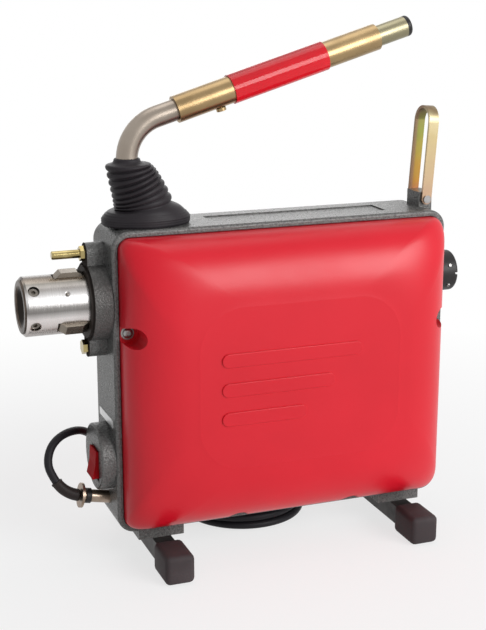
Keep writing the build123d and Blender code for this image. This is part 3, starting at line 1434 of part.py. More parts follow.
def cord_coil():
    """The coiled part of the lead, one unbroken tube."""
    path = coil_path()
    print("cord coil: length", round(path.length), "least gap to itself",
          round(least_gap(path, CORD_R, 8 * CORD_R), 2))
    return swept_tube(path, CORD_R)


def lead_points():
    """The lead's route, from the bend sleeve round the casting's corner and down to the coil."""
    sleeve = bend_sleeve_path()
    coil_start = coil_point(0) - coil_tangent(0) * 2 * CORD_R
    first = sleeve @ 1 + (sleeve % 1) * LEAD_FIRST_RUN
    last = coil_start - coil_tangent(0) * LEAD_LAST_RUN
    return [sleeve @ 1, first, *[Vector(*point) for point in LEAD_POINTS], last, coil_start]


def corner_radii(points):
    """The largest arcs that a route's runs allow, one at each corner."""
    radii = []
    for before, corner, after in zip(points, points[1:], points[2:]):
        turn = (corner - before).get_angle(after - corner)
        shorter = min((corner - before).length, (after - corner).length)
        radii.append(LEAD_ARC_SHARE * shorter / math.tan(math.radians(turn / 2)))
    return radii


def cord_lead():
    """The free part of the lead, as straight runs and tangent arcs."""
    points = lead_points()
    radii = corner_radii(points)
    path = FilletPolyline(*points, radius=radii)
    lead = swept_tube(path, CORD_R)
    print("cord lead: radii", [round(radius) for radius in radii], "length", round(path.length))
    print("cord lead: volume", round(lead.volume), "section by length", round(math.pi * CORD_R**2 * path.length))
    return lead


def tie_reach():
    """Least and greatest radius of the coil's turns where the tie goes round them."""
    first = (COIL_START_DEG - TIE_DEG) % 360
    passes = [first + 360 * turn for turn in range(COIL_LOOPS)]
    spans = [(coil_point(turned) - Vector(COIL_X, COIL_Y, 0)) for turned in passes]
    radii = [math.hypot(span.X, span.Y) for span in spans]
    return min(radii), max(radii)


def coil_tie():
    """A band round the coil's turns."""
    inner, outer = tie_reach()
    room = CORD_R + TIE_GAP
    high = COIL_HIGH_Z + room
    band = block(inner - room - TIE_T, outer + room + TIE_T, -TIE_W / 2, TIE_W / 2, 0, high + TIE_T)
    band -= block(inner - room, outer + room, -TIE_W, TIE_W, TIE_T, high)
    return Pos(COIL_X, COIL_Y, 0) * Rot(0, 0, TIE_DEG) * band


def plug_place():
    """The plug's own frame at the coil's end, along the way that the cord leaves it."""
    path = coil_path()
    end = path @ 1
    along = path % 1
    return Pos(end.X, end.Y, end.Z) * Rot(0, 0, math.degrees(math.atan2(along.Y, along.X)))


def mains_plug():
    """A two-pin plug with a tapering neck, on the floor."""
    body = block(PLUG_NECK_L, PLUG_NECK_L + PLUG_L, -PLUG_W / 2, PLUG_W / 2, -COIL_HIGH_Z, COIL_HIGH_Z)
    body = fillet(body.edges().filter_by(Axis.X) + body.edges().group_by(Axis.X)[0], PLUG_ROUND)
    neck = Rot(0, 90, 0) * Cone(CORD_R + FIT_GAP, PLUG_NECK_R, PLUG_NECK_L)
    plug = body + Pos(PLUG_NECK_L / 2, 0, 0) * neck
    face = PLUG_NECK_L + PLUG_L
    for side in (-1, 1):
        plug -= x_bar(PLUG_PIN_R + FIT_GAP, face - PLUG_PIN_ROOT, face + OVERRUN, side * PLUG_PIN_PITCH / 2)
    return plug_place() * plug


def plug_pins():
    """The plug's two pins."""
    face = PLUG_NECK_L + PLUG_L
    pins = []
    for side in (-1, 1):
        pin = x_bar(PLUG_PIN_R, face - PLUG_PIN_ROOT, face + PLUG_PIN_L, side * PLUG_PIN_PITCH / 2)
        pins.append(fillet(pin.edges().group_by(Axis.X)[-1], PLUG_PIN_R / 2))
    return group([plug_place() * pin for pin in pins])


# Every piece, by the name of its node
PIECES = {
    "main_casting": main_casting,
    "front_cover": front_cover,
    "rear_cover": rear_cover,
    "cover_screws": cover_screws,
    "front_bearing_housing": front_bearing_housing,
    "flange_bolt": flange_bolt,
    "guide_stud": guide_stud,
    "front_bearing": front_bearing,
    "rear_bearing": rear_bearing,
    "spindle_seal": spindle_seal,
    "hollow_spindle": hollow_spindle,
    "chuck_body": chuck_body,
    "chuck_collar": chuck_collar,
    "chuck_screws": chuck_screws,
    "chuck_pins": chuck_pins,
    "pressure_sleeve": pressure_sleeve,
    "thrust_ring": thrust_ring,
    "push_pins": push_pins,
    "return_spring": return_spring,
    "lever_fork": lever_fork,
    "lever_pivot_pin": lever_pivot_pin,
    "lever_tube": lever_tube,
    "grip_tube": grip_tube,
    "grip_sleeve": grip_sleeve,
    "grip_screw": grip_screw,
    "lever_end_cap": lever_end_cap,
    "lever_boot": lever_boot,
    "spindle_pulley": spindle_pulley,
    "motor_pulley": motor_pulley,
    "drive_belt": drive_belt,
    "motor_housing": motor_housing,
    "motor_fan_end": motor_fan_end,
    "motor_drive_end": motor_drive_end,
    "motor_rotor": motor_rotor,
    "motor_fan": motor_fan,
    "motor_saddle": motor_saddle,
    "run_capacitor": run_capacitor,
    "coupling_washer": coupling_washer,
    "hose_coupling": hose_coupling,
    "switch_frame": switch_frame,
    "switch_rocker": switch_rocker,
    "switch_module": switch_module,
    "rating_plate": rating_plate,
    "cable_gland": cable_gland,
    "gland_ring": gland_ring,
    "gland_nut": gland_nut,
    "bend_sleeve": bend_sleeve,
    "latch_strap": latch_strap,
    "latch_pin": latch_pin,
    "cord_lead": cord_lead,
    "cord_coil": cord_coil,
    "coil_tie": coil_tie,
    "mains_plug": mains_plug,
    "plug_pins": plug_pins,
    "foot_bars": foot_bars,
    "foot_caps": foot_caps,
    "foot_bolts": foot_bolts,
}


def all_pieces():
    """Each node's name and shape, in the machine's own frame."""
    shapes = {name: make() for name, make in PIECES.items()}
    for number, degrees in enumerate(JAW_ANGLES, start=1):
        shapes[f"jaw_{number}"] = jaw(degrees)
    return {name: Pos(MODEL_SHIFT, 0, 0) * shape for name, shape in shapes.items()}


os.makedirs("parts", exist_ok=True)
for node, shape in all_pieces().items():
    export_step(shape, f"parts/{node}.step")
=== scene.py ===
"""Drain cleaning machine: its looks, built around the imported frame. Sizes are in metres."""

import math

import bpy
from mathutils import Matrix, Vector


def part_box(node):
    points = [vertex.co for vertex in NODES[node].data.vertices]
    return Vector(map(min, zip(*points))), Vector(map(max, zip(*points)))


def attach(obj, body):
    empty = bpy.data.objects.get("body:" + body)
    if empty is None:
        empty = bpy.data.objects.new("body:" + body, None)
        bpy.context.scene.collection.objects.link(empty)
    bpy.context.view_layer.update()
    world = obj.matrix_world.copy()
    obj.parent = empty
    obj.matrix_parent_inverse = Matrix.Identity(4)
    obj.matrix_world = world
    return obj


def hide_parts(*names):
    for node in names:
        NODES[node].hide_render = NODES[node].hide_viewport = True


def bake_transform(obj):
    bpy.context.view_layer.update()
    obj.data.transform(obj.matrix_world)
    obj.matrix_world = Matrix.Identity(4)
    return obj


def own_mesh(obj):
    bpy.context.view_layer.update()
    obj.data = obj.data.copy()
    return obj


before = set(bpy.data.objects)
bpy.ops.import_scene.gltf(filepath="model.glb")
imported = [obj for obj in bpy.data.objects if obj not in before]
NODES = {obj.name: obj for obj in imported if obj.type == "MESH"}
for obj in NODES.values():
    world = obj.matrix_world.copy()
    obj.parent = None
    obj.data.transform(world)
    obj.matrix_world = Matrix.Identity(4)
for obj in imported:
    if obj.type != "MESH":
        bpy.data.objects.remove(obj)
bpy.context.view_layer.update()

# The casting's middle lies this far along X from the frame's origin
CASTING_X = 0.02825
CASTING_TOP = 0.3443

# The spindle's axis, the chuck's mouth and the round front of the bearing housing, and the width of the soft
# edge of the painted shade there
AXIS_Z = 0.2705
MOUTH_R = 0.0211
HOUSING_R = 0.0386
HOUSING_FRONT_X = -0.16975
PAINTED_SHADE_EDGE = 0.0006

# Points of a mesh nearer than this are one
MERGE = 1e-6

# Share of metal in the hammer finish paint
PAINT_METALLIC = 0.3

# Painted reflections and shade on the chuck: light and dark bands by the turn round the spindle
CHUCK_PAINTED_REFLECTIONS = (
    (0.34, (0.50, 0.47, 0.45)),
    (0.40, (0.85, 0.80, 0.77)),
    (0.46, (1.0, 0.97, 0.96)),
    (0.50, (0.29, 0.28, 0.27)),
    (0.52, (0.33, 0.32, 0.31)),
    (0.55, (0.80, 0.80, 0.80)),
    (0.58, (1.0, 1.0, 1.0)),
    (0.62, (0.47, 0.45, 0.43)),
    (0.66, (0.22, 0.21, 0.19)),
    (0.695, (0.50, 0.43, 0.36)),
    (0.73, (0.11, 0.09, 0.075)),
)

# Camera of the photograph
CAMERA_AT = (-0.47045, -1.2347, 0.5883)
CAMERA_AIM = (-0.01771, -0.0360, 0.2514)
CAMERA_LENS = 75.49
CAMERA_SENSOR = 36.0
CAMERA_REACH = 50.0

# Studio lamps: name, place, aim and watts
LAMP_SIZE = (1.6, 1.2)
LAMPS = (
    ("key_lamp", (1.2, -2.0, 1.1), (0.0, 0.0, 0.25), 46.0),
    ("top_lamp", (0.1, 0.3, 2.2), (0.0, 0.0, 0.3), 9.0),
    ("rear_lamp", (0.5, 2.3, 1.0), (0.0, 0.0, 0.25), 8.0),
)
WORLD_LIGHT = 0.22
WORLD_COLOUR = (0.9, 0.92, 0.95, 1)

# Floor: the share of plain white that the camera sees beside the object, and where it runs out into the white
FLOOR_SIZE = 12.0
FLOOR_DROP = 0.0005
FLOOR_COLOUR = (0.92, 0.92, 0.92, 1)
FLOOR_ROUGH = 0.9
FLOOR_WHITE = 0.72
FLOOR_FADE = (0.3, 0.9)

# Mains lead
CORD_R = 0.0043
CORD_ROUND_STEPS = 4
CORD_LENGTH_STEPS = 4
LEAD_ROUTE = (
    (-0.2331, 0.0041, 0.0839),
    (-0.2389, 0.0074, 0.0941),
    (-0.2396, 0.0122, 0.1052),
    (-0.2349, 0.0186, 0.1154),
    (-0.2260, 0.0256, 0.1220),
    (-0.2134, 0.0334, 0.1248),
    (-0.1975, 0.0448, 0.1220),
    (-0.1845, 0.0570, 0.1126),
    (-0.1730, 0.0685, 0.0980),
    (-0.1600, 0.0810, 0.0800),
    (-0.1490, 0.0920, 0.0605),
    (-0.1360, 0.1031, 0.0428),
    (-0.1190, 0.1115, 0.0273),
    (-0.1025, 0.1110, 0.0125),
    (-0.0855, 0.1082, 0.0066),
    (-0.0660, 0.1137, 0.0061),
    (-0.0548, 0.1199, 0.0061),
)
COIL_AT = (-0.012, 0.063)
COIL_R = 0.0705
COIL_STEP = 0.0094
COIL_START_DEG = 120.0
COIL_TURNED = 2550.0
COIL_REVERSE_DEG = 85.0
COIL_LOW = 0.0061
COIL_TAIL = 0.040
COIL_POINT_DEG = 15.0

# Rubber sleeve at the cable gland, bent upwards and rolled to the rear.
# Its lip's outline is (share of the turn, share of the lip's height)
GLAND_AT = (-0.180, 0.0, 0.062)
GLAND_TILT = 11.0
GLAND_L = 0.031
SLEEVE_ROOT_R = 0.0064
SLEEVE_TIP_R = 0.0056
SLEEVE_TURN = 51.0
SLEEVE_BEND_R = 0.0326
SLEEVE_ROLL = 20.0
SLEEVE_STEPS = 12
SLEEVE_SIDES = 24
SLEEVE_LIP = 0.0005
SLEEVE_LIP_OUTLINE = ((0.93, 0.0), (0.94, 1.0), (0.985, 1.0), (1.0, 0.4))

# Rubber boot at the lever's foot: its flange is oval, and its neck leans over to the lever's tube.
# The flange's outline is (rise, radius), and a ridge's or rib's is (share of the pitch, share of the depth)
BOOT_FOOT_X = -0.1347
BOOT_TOP_X = -0.1528
BOOT_TOP_RISE = 0.0611
BOOT_SIDES = 56
BOOT_FLANGE = ((0.0, 0.0435), (0.002, 0.045), (0.0075, 0.045), (0.012, 0.041), (0.0163, 0.035))
BOOT_LIP_R = 0.045
BOOT_SIDE_R = 0.0315
BOOT_WAIST_R = 0.0265
BOOT_WAIST_RISE = 0.0186
BOOT_BEND_RISE = 0.014
BOOT_TILT = 22.0
BOOT_RIDGES = 6
BOOT_RIDGE_RISE = 0.0012
BOOT_RIDGE_PITCH = 0.0023
BOOT_RIDGE_DEPTH = 0.0006
BOOT_RIDGE_OUTLINE = ((0.0, 1.0), (0.3, 0.0), (0.7, 0.0))
BOOT_RIBS = 8
BOOT_RIB_RISE = 0.0218
BOOT_RIB_PITCH = 0.00515
BOOT_RIB_LOW_R = 0.0292
BOOT_RIB_HIGH_R = 0.0224
BOOT_RIB_DEPTH = 0.0026
BOOT_RIB_OUTLINE = ((-0.46, 1.0), (-0.34, 0.4), (-0.12, 0.0), (0.16, 0.0), (0.36, 0.4), (0.46, 1.0))
BOOT_COLLAR_R = 0.0132
BOOT_COLLAR_H = 0.0045
BOOT_BORE_R = 0.0109
BOOT_WALL = 0.0024
BOOT_BORE_SHARES = (0.9, 0.6, 0.3, 0.0)

# Latch strap: its pin, and how far it leans over for each metre up
STRAP_AT = (0.19625, 0.3527)
STRAP_LEAN = 0.07

# The strap's zinc: the heights its colours run between, how far clouds shift them, its left edge with painted
# shade, half the way between its legs, and the colours of each leg from the foot up, the far leg's with
# painted shade and the near leg's lighter as if lit
STRAP_COLOUR_Z = (0.350, 0.450)
STRAP_CLOUD_SHIFT = 0.035
STRAP_SHADED_EDGE = (-0.0036, -0.0012)
STRAP_LEG_Y = 0.006
STRAP_SHADED_FAR_LEG = (
    (0.0, (0.36, 0.13, 0.08)),
    (0.2, (0.34, 0.17, 0.04)),
    (0.45, (0.28, 0.20, 0.045)),
    (0.75, (0.19, 0.20, 0.05)),
    (1.0, (0.18, 0.12, 0.075)),
)
STRAP_LIT_NEAR_LEG = (
    (0.0, (0.38, 0.25, 0.175)),
    (0.35, (0.38, 0.285, 0.17)),
    (0.7, (0.36, 0.29, 0.155)),
    (0.9, (0.42, 0.36, 0.22)),
    (1.0, (0.22, 0.155, 0.09)),
)

# Where the lever's nickel begins to turn yellow, and where it is quite yellow
NICKEL_TURNS_X = (0.0, 0.12)

# Small screws round the hose coupling. The head's outline is (rise, radius)
COUPLING_R = 0.02175
COUPLING_SCREW_X = 0.1972
COUPLING_SCREWS = 6
COUPLING_SCREW_DEG = 25.0
COUPLING_SCREW_SIDES = 20
COUPLING_SCREW_HEAD = ((-0.001, 0.002), (0.0005, 0.002), (0.0011, 0.0015), (0.0011, 0.0009), (0.0004, 0.0008))

# Cover screws: their places on the covers, and a button head with a washer face and a socket.
# Outlines are (rise, radius)
COVER_FACE_Y = 0.035
COVER_SCREW_SIDES = 32
COVER_SCREW_PLACES = ((-0.166, 0.2443), (0.166, 0.2348))
COVER_SCREW_SHANK = ((-0.014, 0.0026), (-0.0136, 0.003), (0.0, 0.003))
COVER_SCREW_WASHER = ((0.0, 0.0068), (0.0009, 0.0068), (0.0012, 0.0064), (0.0012, 0.0052))
COVER_SCREW_HEAD = ((0.002, 0.0051), (0.0033, 0.0043), (0.0039, 0.0032), (0.004, 0.0025), (0.0018, 0.0023))

# Return spring inside
SPRING_R = 0.023
SPRING_WIRE_R = 0.0015
SPRING_TURNS = 4
SPRING_STEPS = 40
SPRING_SIDES = 12

# Rubber caps on the foot bars
CAP_SIDE = 0.0304
CAP_L = 0.0445
CAP_X = 0.135
CAP_NEAR_Y = 0.0555
CAP_ROUND = 0.0055
CAP_ROUND_STEPS = 4
CAP_MOUTH = 0.0022
CAP_MOUTH_DEPTH = 0.004


# Modelling helpers
def deselect_all():
    """Nothing selected and no object in edit mode."""
    if bpy.context.mode != "OBJECT":
        bpy.ops.object.mode_set(mode="OBJECT")
    bpy.ops.object.select_all(action="DESELECT")


def only(piece):
    """Selects one piece and makes it active."""
    deselect_all()
    piece.select_set(True)
    bpy.context.view_layer.objects.active = piece


def named(name):
    """Names the object that was just added."""
    piece = bpy.context.active_object
    piece.name = name
    piece.data.name = name
    return piece


def settle(piece):
    """Moves a piece's place into its mesh."""
    only(piece)
    bpy.ops.object.transform_apply(location=True, rotation=True, scale=True)
    return piece


def add_modifier(piece, kind, **values):
    """Adds a modifier with its values and applies it."""
    only(piece)
    modifier = piece.modifiers.new(kind.lower(), kind)
    for key, value in values.items():
        setattr(modifier, key, value)
    bpy.ops.object.modifier_apply(modifier=modifier.name)


def smooth(piece, degrees):
    """Smooth shading, with edges kept past an angle."""
    only(piece)
    bpy.ops.object.shade_smooth_by_angle(angle=math.radians(degrees))


def face_outwards(piece):
    """Merges doubles and turns every face outwards."""
    only(piece)
    bpy.ops.object.mode_set(mode="EDIT")
    bpy.ops.mesh.select_all(action="SELECT")
    bpy.ops.mesh.remove_doubles(threshold=MERGE)
    bpy.ops.mesh.normals_make_consistent(inside=False)
    bpy.ops.object.mode_set(mode="OBJECT")


def copied(piece, name):
    """A copy of a piece with its own mesh."""
    twin = piece.copy()
    twin.data = piece.data.copy()
    twin.name = name
    twin.data.name = name
    bpy.context.scene.collection.objects.link(twin)
    return twin


def numbered(first, stem, count):
    """A piece and its copies, numbered from 1."""
    return [first] + [copied(first, f"{stem}_{number}") for number in range(2, count + 1)]


def dress(piece, material):
    """Gives a piece one material."""
    piece.data.materials.clear()
    piece.data.materials.append(material)


def put_in(piece, body, slot, *nodes):
    """A new piece rides on a body and stands for CAD nodes. Its slot is not used."""
    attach(piece, body)
    if nodes:
        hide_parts(*nodes)


def ring_shell(name, rings, sides):
    """A closed shell, made ring by ring. A ring is (x, z, tilt round Y, half length, half width)."""
    deselect_all()
    bpy.ops.mesh.primitive_circle_add(vertices=sides, radius=1.0, fill_type="NOTHING")
    shell = named(name)
    bpy.ops.object.mode_set(mode="EDIT")
    bpy.ops.mesh.select_all(action="SELECT")
    last = (0.0, 0.0, 0.0, 1.0, 1.0)
    for number, ring in enumerate(rings):
        if number:
            bpy.ops.mesh.extrude_region_move(TRANSFORM_OT_translate={"value": (0, 0, 0)})
        move_ring(last, ring)
        last = ring
    bpy.ops.mesh.select_all(action="SELECT")
    bpy.ops.mesh.remove_doubles(threshold=MERGE)
    bpy.ops.mesh.fill_holes(sides=0)
    bpy.ops.object.mode_set(mode="OBJECT")
    face_outwards(shell)
    return shell


def move_ring(last, ring):
    """Takes the selected ring from one place, tilt and size to the next."""
    middle = (0, 0, 0)
    bpy.ops.transform.translate(value=(-last[0], 0, -last[1]))
    bpy.ops.transform.rotate(value=-math.radians(last[2]), orient_axis="Y", center_override=middle)
    bpy.ops.transform.resize(value=(ring[3] / last[3], ring[4] / last[4], 1), center_override=middle)
    bpy.ops.transform.rotate(value=math.radians(ring[2]), orient_axis="Y", center_override=middle)
    bpy.ops.transform.translate(value=(ring[0], 0, ring[1]))


# Material helpers
def new_material(name):
    """A material with only a Principled shader, and its node tree."""
    material = bpy.data.materials.new(name)
    material.use_nodes = True
    tree = material.node_tree
    shader = tree.nodes["Principled BSDF"]
    return material, tree, shader


def new_group(name, inputs, outputs):
    """A shader node group with float inputs, and outputs by name and type."""
    group = bpy.data.node_groups.new(name, "ShaderNodeTree")
    for label, value in inputs:
        socket = group.interface.new_socket(label, in_out="INPUT", socket_type="NodeSocketFloat")
        socket.default_value = value
    for label, kind in outputs:
        group.interface.new_socket(label, in_out="OUTPUT", socket_type=kind)
    entry = group.nodes.new("NodeGroupInput")
    leave = group.nodes.new("NodeGroupOutput")
    return group, entry, leave


def connect(tree, value, shader, socket):
    """Links a value to one of the shader's sockets."""
    tree.links.new(value, shader.inputs[socket])


def linked(shader, socket):
    """The value that feeds one of the shader's sockets."""
    return shader.inputs[socket].links[0].from_socket


def object_coords(tree, scale=(1, 1, 1)):
    """Object coordinates through a Mapping node."""
    coords = tree.nodes.new("ShaderNodeTexCoord")
    mapping = tree.nodes.new("ShaderNodeMapping")
    mapping.inputs["Scale"].default_value = scale
    tree.links.new(coords.outputs["Object"], mapping.inputs["Vector"])
    return mapping.outputs["Vector"]


def along_axis(tree, axis):
    """An object coordinate along X, Y or Z."""
    coords = tree.nodes.new("ShaderNodeTexCoord")
    parts = tree.nodes.new("ShaderNodeSeparateXYZ")
    tree.links.new(coords.outputs["Object"], parts.inputs["Vector"])
    return parts.outputs[axis]


def noise(tree, vector, scale, detail):
    """A noise texture's value."""
    node = tree.nodes.new("ShaderNodeTexNoise")
    node.inputs["Scale"].default_value = scale
    node.inputs["Detail"].default_value = detail
    tree.links.new(vector, node.inputs["Vector"])
    return node.outputs["Fac"]


def ramp(tree, value, stops):
    """A colour ramp with (place, colour) stops."""
    node = tree.nodes.new("ShaderNodeValToRGB")
    elements = node.color_ramp.elements
    while len(elements) < len(stops):
        elements.new(0.5)
    for element, (place, colour) in zip(elements, stops):
        element.position = place
        element.color = (*colour, 1.0)
    tree.links.new(value, node.inputs["Fac"])
    return node.outputs["Color"]


def spread(tree, value, low, high, new_low, new_high):
    """A value mapped from one range to another."""
    node = tree.nodes.new("ShaderNodeMapRange")
    node.inputs["From Min"].default_value = low
    node.inputs["From Max"].default_value = high
    node.inputs["To Min"].default_value = new_low
    node.inputs["To Max"].default_value = new_high
    tree.links.new(value, node.inputs["Value"])
    return node.outputs["Result"]


def mix_colours(tree, share, first, second, mode="MIX"):
    """Two colours mixed by a share, where each may be a socket or a plain colour."""
    node = tree.nodes.new("ShaderNodeMix")
    node.data_type = "RGBA"
    node.blend_type = mode
    for socket, value in ((node.inputs[0], share), (node.inputs[6], first), (node.inputs[7], second)):
        if isinstance(value, bpy.types.NodeSocket):
            tree.links.new(value, socket)
        elif isinstance(value, (int, float)):
            socket.default_value = value
        else:
            socket.default_value = (*value, 1.0)
    return node.outputs[2]


def calculate(tree, operation, first, second):
    """A Math node, where each value may be a socket or a number."""
    node = tree.nodes.new("ShaderNodeMath")
    node.operation = operation
    for socket, value in zip(node.inputs, (first, second)):
        if isinstance(value, bpy.types.NodeSocket):
            tree.links.new(value, socket)
        else:
            socket.default_value = value
    return node.outputs[0]


def round_spindle(tree):
    """Distance from the spindle's axis, and the turn round it as a share, where 0.5 faces the front cover."""
    up = calculate(tree, "SUBTRACT", along_axis(tree, "Z"), AXIS_Z)
    out = calculate(tree, "MULTIPLY", along_axis(tree, "Y"), -1.0)
    squares = calculate(tree, "ADD", calculate(tree, "POWER", up, 2.0), calculate(tree, "POWER", out, 2.0))
    turn = spread(tree, calculate(tree, "ARCTAN2", up, out), -math.pi, math.pi, 0.0, 1.0)
    return calculate(tree, "POWER", squares, 0.5), turn


def bump(tree, shader, height, distance, strength):
    """A Bump node into the shader's normal."""
    node = tree.nodes.new("ShaderNodeBump")
    node.inputs["Distance"].default_value = distance
    node.inputs["Strength"].default_value = strength
    tree.links.new(height, node.inputs["Height"])
    connect(tree, node.outputs["Normal"], shader, "Normal")


def use_group(tree, group, **values):
    """Places a node group with its own values."""
    node = tree.nodes.new("ShaderNodeGroup")
    node.node_tree = group
    for label, value in values.items():
        node.inputs[label.replace("_", " ")].default_value = value
    return node


# Shared surface effects
def scuff_group():
    """Soft scuffs and dust: a mask that is strong in a few cloudy patches."""
    group, entry, leave = new_group("scuffs", [("Patch Scale", 14.0), ("Fine Scale", 260.0)],
                                    [("Mask", "NodeSocketFloat")])
    coords = group.nodes.new("ShaderNodeTexCoord")
    patch = group.nodes.new("ShaderNodeTexNoise")
    patch.inputs["Detail"].default_value = 4.0
    fine = group.nodes.new("ShaderNodeTexNoise")
    fine.inputs["Detail"].default_value = 2.0
    group.links.new(coords.outputs["Object"], patch.inputs["Vector"])
    group.links.new(coords.outputs["Object"], fine.inputs["Vector"])
    group.links.new(entry.outputs["Patch Scale"], patch.inputs["Scale"])
    group.links.new(entry.outputs["Fine Scale"], fine.inputs["Scale"])
    cloudy = spread(group, patch.outputs["Fac"], 0.45, 0.75, 0.0, 1.0)
    mask = calculate(group, "MULTIPLY", cloudy, fine.outputs["Fac"])
    group.links.new(mask, leave.inputs["Mask"])
    return group


def turning_group():
    """Fine tool marks that run round the X axis."""
    group, entry, leave = new_group("turning_marks", [("Mark Scale", 900.0)], [("Mark", "NodeSocketFloat")])
    coords = object_coords(group, scale=(1.0, 0.02, 0.02))
    marks = group.nodes.new("ShaderNodeTexNoise")
    marks.inputs["Detail"].default_value = 3.0
    group.links.new(coords, marks.inputs["Vector"])
    group.links.new(entry.outputs["Mark Scale"], marks.inputs["Scale"])
    group.links.new(marks.outputs["Fac"], leave.inputs["Mark"])
    return group


SCUFFS = scuff_group()
TURNING = turning_group()


# Materials
def painted_shade_within(tree, shader, radius, shade_colour):
    """Painted shade: a dark colour on what lies within a radius of the spindle's axis."""
    from_axis = round_spindle(tree)[0]
    clean = linked(shader, "Base Color")
    share = spread(tree, from_axis, radius, radius + PAINTED_SHADE_EDGE, 1.0, 0.0)
    connect(tree, mix_colours(tree, share, clean, shade_colour), shader, "Base Color")


def hammer_grey(name):
    """Hammer finish paint: rounded blisters of about a millimetre with a metallic glint."""
    material, tree, shader = new_material(name)
    vector = object_coords(tree)
    cells = tree.nodes.new("ShaderNodeTexVoronoi")
    cells.feature = "SMOOTH_F1"
    cells.inputs["Scale"].default_value = 820.0
    cells.inputs["Smoothness"].default_value = 0.8
    warp = noise(tree, vector, 380.0, 2.0)
    tree.links.new(vector, cells.inputs["Vector"])
    height = calculate(tree, "SUBTRACT", warp, calculate(tree, "MULTIPLY", cells.outputs["Distance"], 0.9))
    colour = ramp(tree, spread(tree, height, -0.15, 0.45, 0.0, 1.0),
                  [(0.0, (0.118, 0.117, 0.114)), (0.5, (0.155, 0.154, 0.15)), (1.0, (0.205, 0.203, 0.198))])
    worn = use_group(tree, SCUFFS, Patch_Scale=9.0, Fine_Scale=180.0)
    dull = calculate(tree, "MULTIPLY", worn.outputs["Mask"], 0.3)
    connect(tree, mix_colours(tree, dull, colour, (0.19, 0.19, 0.185)), shader, "Base Color")
    shader.inputs["Metallic"].default_value = PAINT_METALLIC
    shader.inputs["Specular IOR Level"].default_value = 0.06
    connect(tree, spread(tree, warp, 0.3, 0.7, 0.24, 0.36), shader, "Roughness")
    bump(tree, shader, height, 0.0005, 0.7)
    return material, tree, shader


def housing_grey():
    """Hammer finish paint, with painted shade on the housing's front and in its bore: dark, matt and without
    metal.
    """
    material, tree, shader = hammer_grey("housing_grey")
    # Painted shade on the front face and in the bore
    front = spread(tree, along_axis(tree, "X"), HOUSING_FRONT_X, HOUSING_FRONT_X + PAINTED_SHADE_EDGE, 1.0, 0.0)
    bore = spread(tree, round_spindle(tree)[0], HOUSING_R, HOUSING_R + PAINTED_SHADE_EDGE, 1.0, 0.0)
    painted_shade = calculate(tree, "MAXIMUM", front, bore)
    paint = linked(shader, "Base Color")
    connect(tree, mix_colours(tree, painted_shade, paint, (0.032, 0.026, 0.023)), shader, "Base Color")
    connect(tree, spread(tree, painted_shade, 0.0, 1.0, PAINT_METALLIC, 0.0), shader, "Metallic")
    gloss = linked(shader, "Roughness")
    matt = calculate(tree, "MULTIPLY", painted_shade, 0.85)
    connect(tree, calculate(tree, "MAXIMUM", gloss, matt), shader, "Roughness")
    return material


def cover_red():
    """Semi-gloss red shell with a faint moulded grain."""
    material, tree, shader = new_material("cover_red")
    vector = object_coords(tree)
    cloud = noise(tree, vector, 7.0, 3.0)
    colour = ramp(tree, cloud, [(0.3, (0.66, 0.005, 0.018)), (0.7, (0.74, 0.008, 0.024))])
    connect(tree, colour, shader, "Base Color")
    shader.inputs["Specular IOR Level"].default_value = 0.4
    worn = use_group(tree, SCUFFS, Patch_Scale=11.0, Fine_Scale=420.0)
    connect(tree, spread(tree, worn.outputs["Mask"], 0.0, 0.6, 0.33, 0.43), shader, "Roughness")
    bump(tree, shader, noise(tree, vector, 520.0, 2.0), 0.00012, 0.5)
    return material


def turned_steel(name, dark, light, rough):
    """Turned steel with marks that run round the spindle."""
    material, tree, shader = new_material(name)
    mark = use_group(tree, TURNING, Mark_Scale=1100.0)
    stain = noise(tree, object_coords(tree), 28.0, 5.0)
    connect(tree, ramp(tree, stain, [(0.3, dark), (0.7, light)]), shader, "Base Color")
    shader.inputs["Metallic"].default_value = 1.0
    connect(tree, spread(tree, mark.outputs["Mark"], 0.3, 0.7, rough, rough + 0.1), shader, "Roughness")
    bump(tree, shader, mark.outputs["Mark"], 0.00003, 0.4)
    return material, tree, shader


def bright_steel():
    """Clean turned steel."""
    return turned_steel("bright_steel", (0.30, 0.29, 0.28), (0.42, 0.41, 0.41), 0.24)[0]


def chuck_steel():
    """Turned steel with painted reflections and shade in soft bands round the chuck, and painted shade in its
    bore.
    """
    material, tree, shader = turned_steel("chuck_steel", (0.62, 0.60, 0.59), (0.80, 0.79, 0.79), 0.2)
    turn = round_spindle(tree)[1]
    clean = linked(shader, "Base Color")
    # Painted reflections and shade: the base colour runs through light and dark bands round the spindle
    painted_reflections = ramp(tree, turn, CHUCK_PAINTED_REFLECTIONS)
    connect(tree, mix_colours(tree, 1.0, clean, painted_reflections, "MULTIPLY"), shader, "Base Color")
    # Painted shade inside the chuck's mouth
    painted_shade_within(tree, shader, MOUTH_R, (0.022, 0.019, 0.017))
    return material


def plain_metal(name, dark, light, rough, grain=90.0):
    """A metal with a cloudy colour and fine grain."""
    return grained_metal(name, dark, light, rough, grain)[0]


def grained_metal(name, dark, light, rough, grain):
    """A metal with a cloudy colour and fine grain, with its nodes."""
    material, tree, shader = new_material(name)
    vector = object_coords(tree)
    cloud = noise(tree, vector, grain, 4.0)
    connect(tree, ramp(tree, cloud, [(0.3, dark), (0.7, light)]), shader, "Base Color")
    shader.inputs["Metallic"].default_value = 1.0
    worn = use_group(tree, SCUFFS, Patch_Scale=30.0, Fine_Scale=700.0)
    connect(tree, spread(tree, worn.outputs["Mask"], 0.0, 0.6, rough, rough + 0.16), shader, "Roughness")
    bump(tree, shader, noise(tree, vector, 900.0, 2.0), 0.00004, 0.5)
    return material, tree, shader


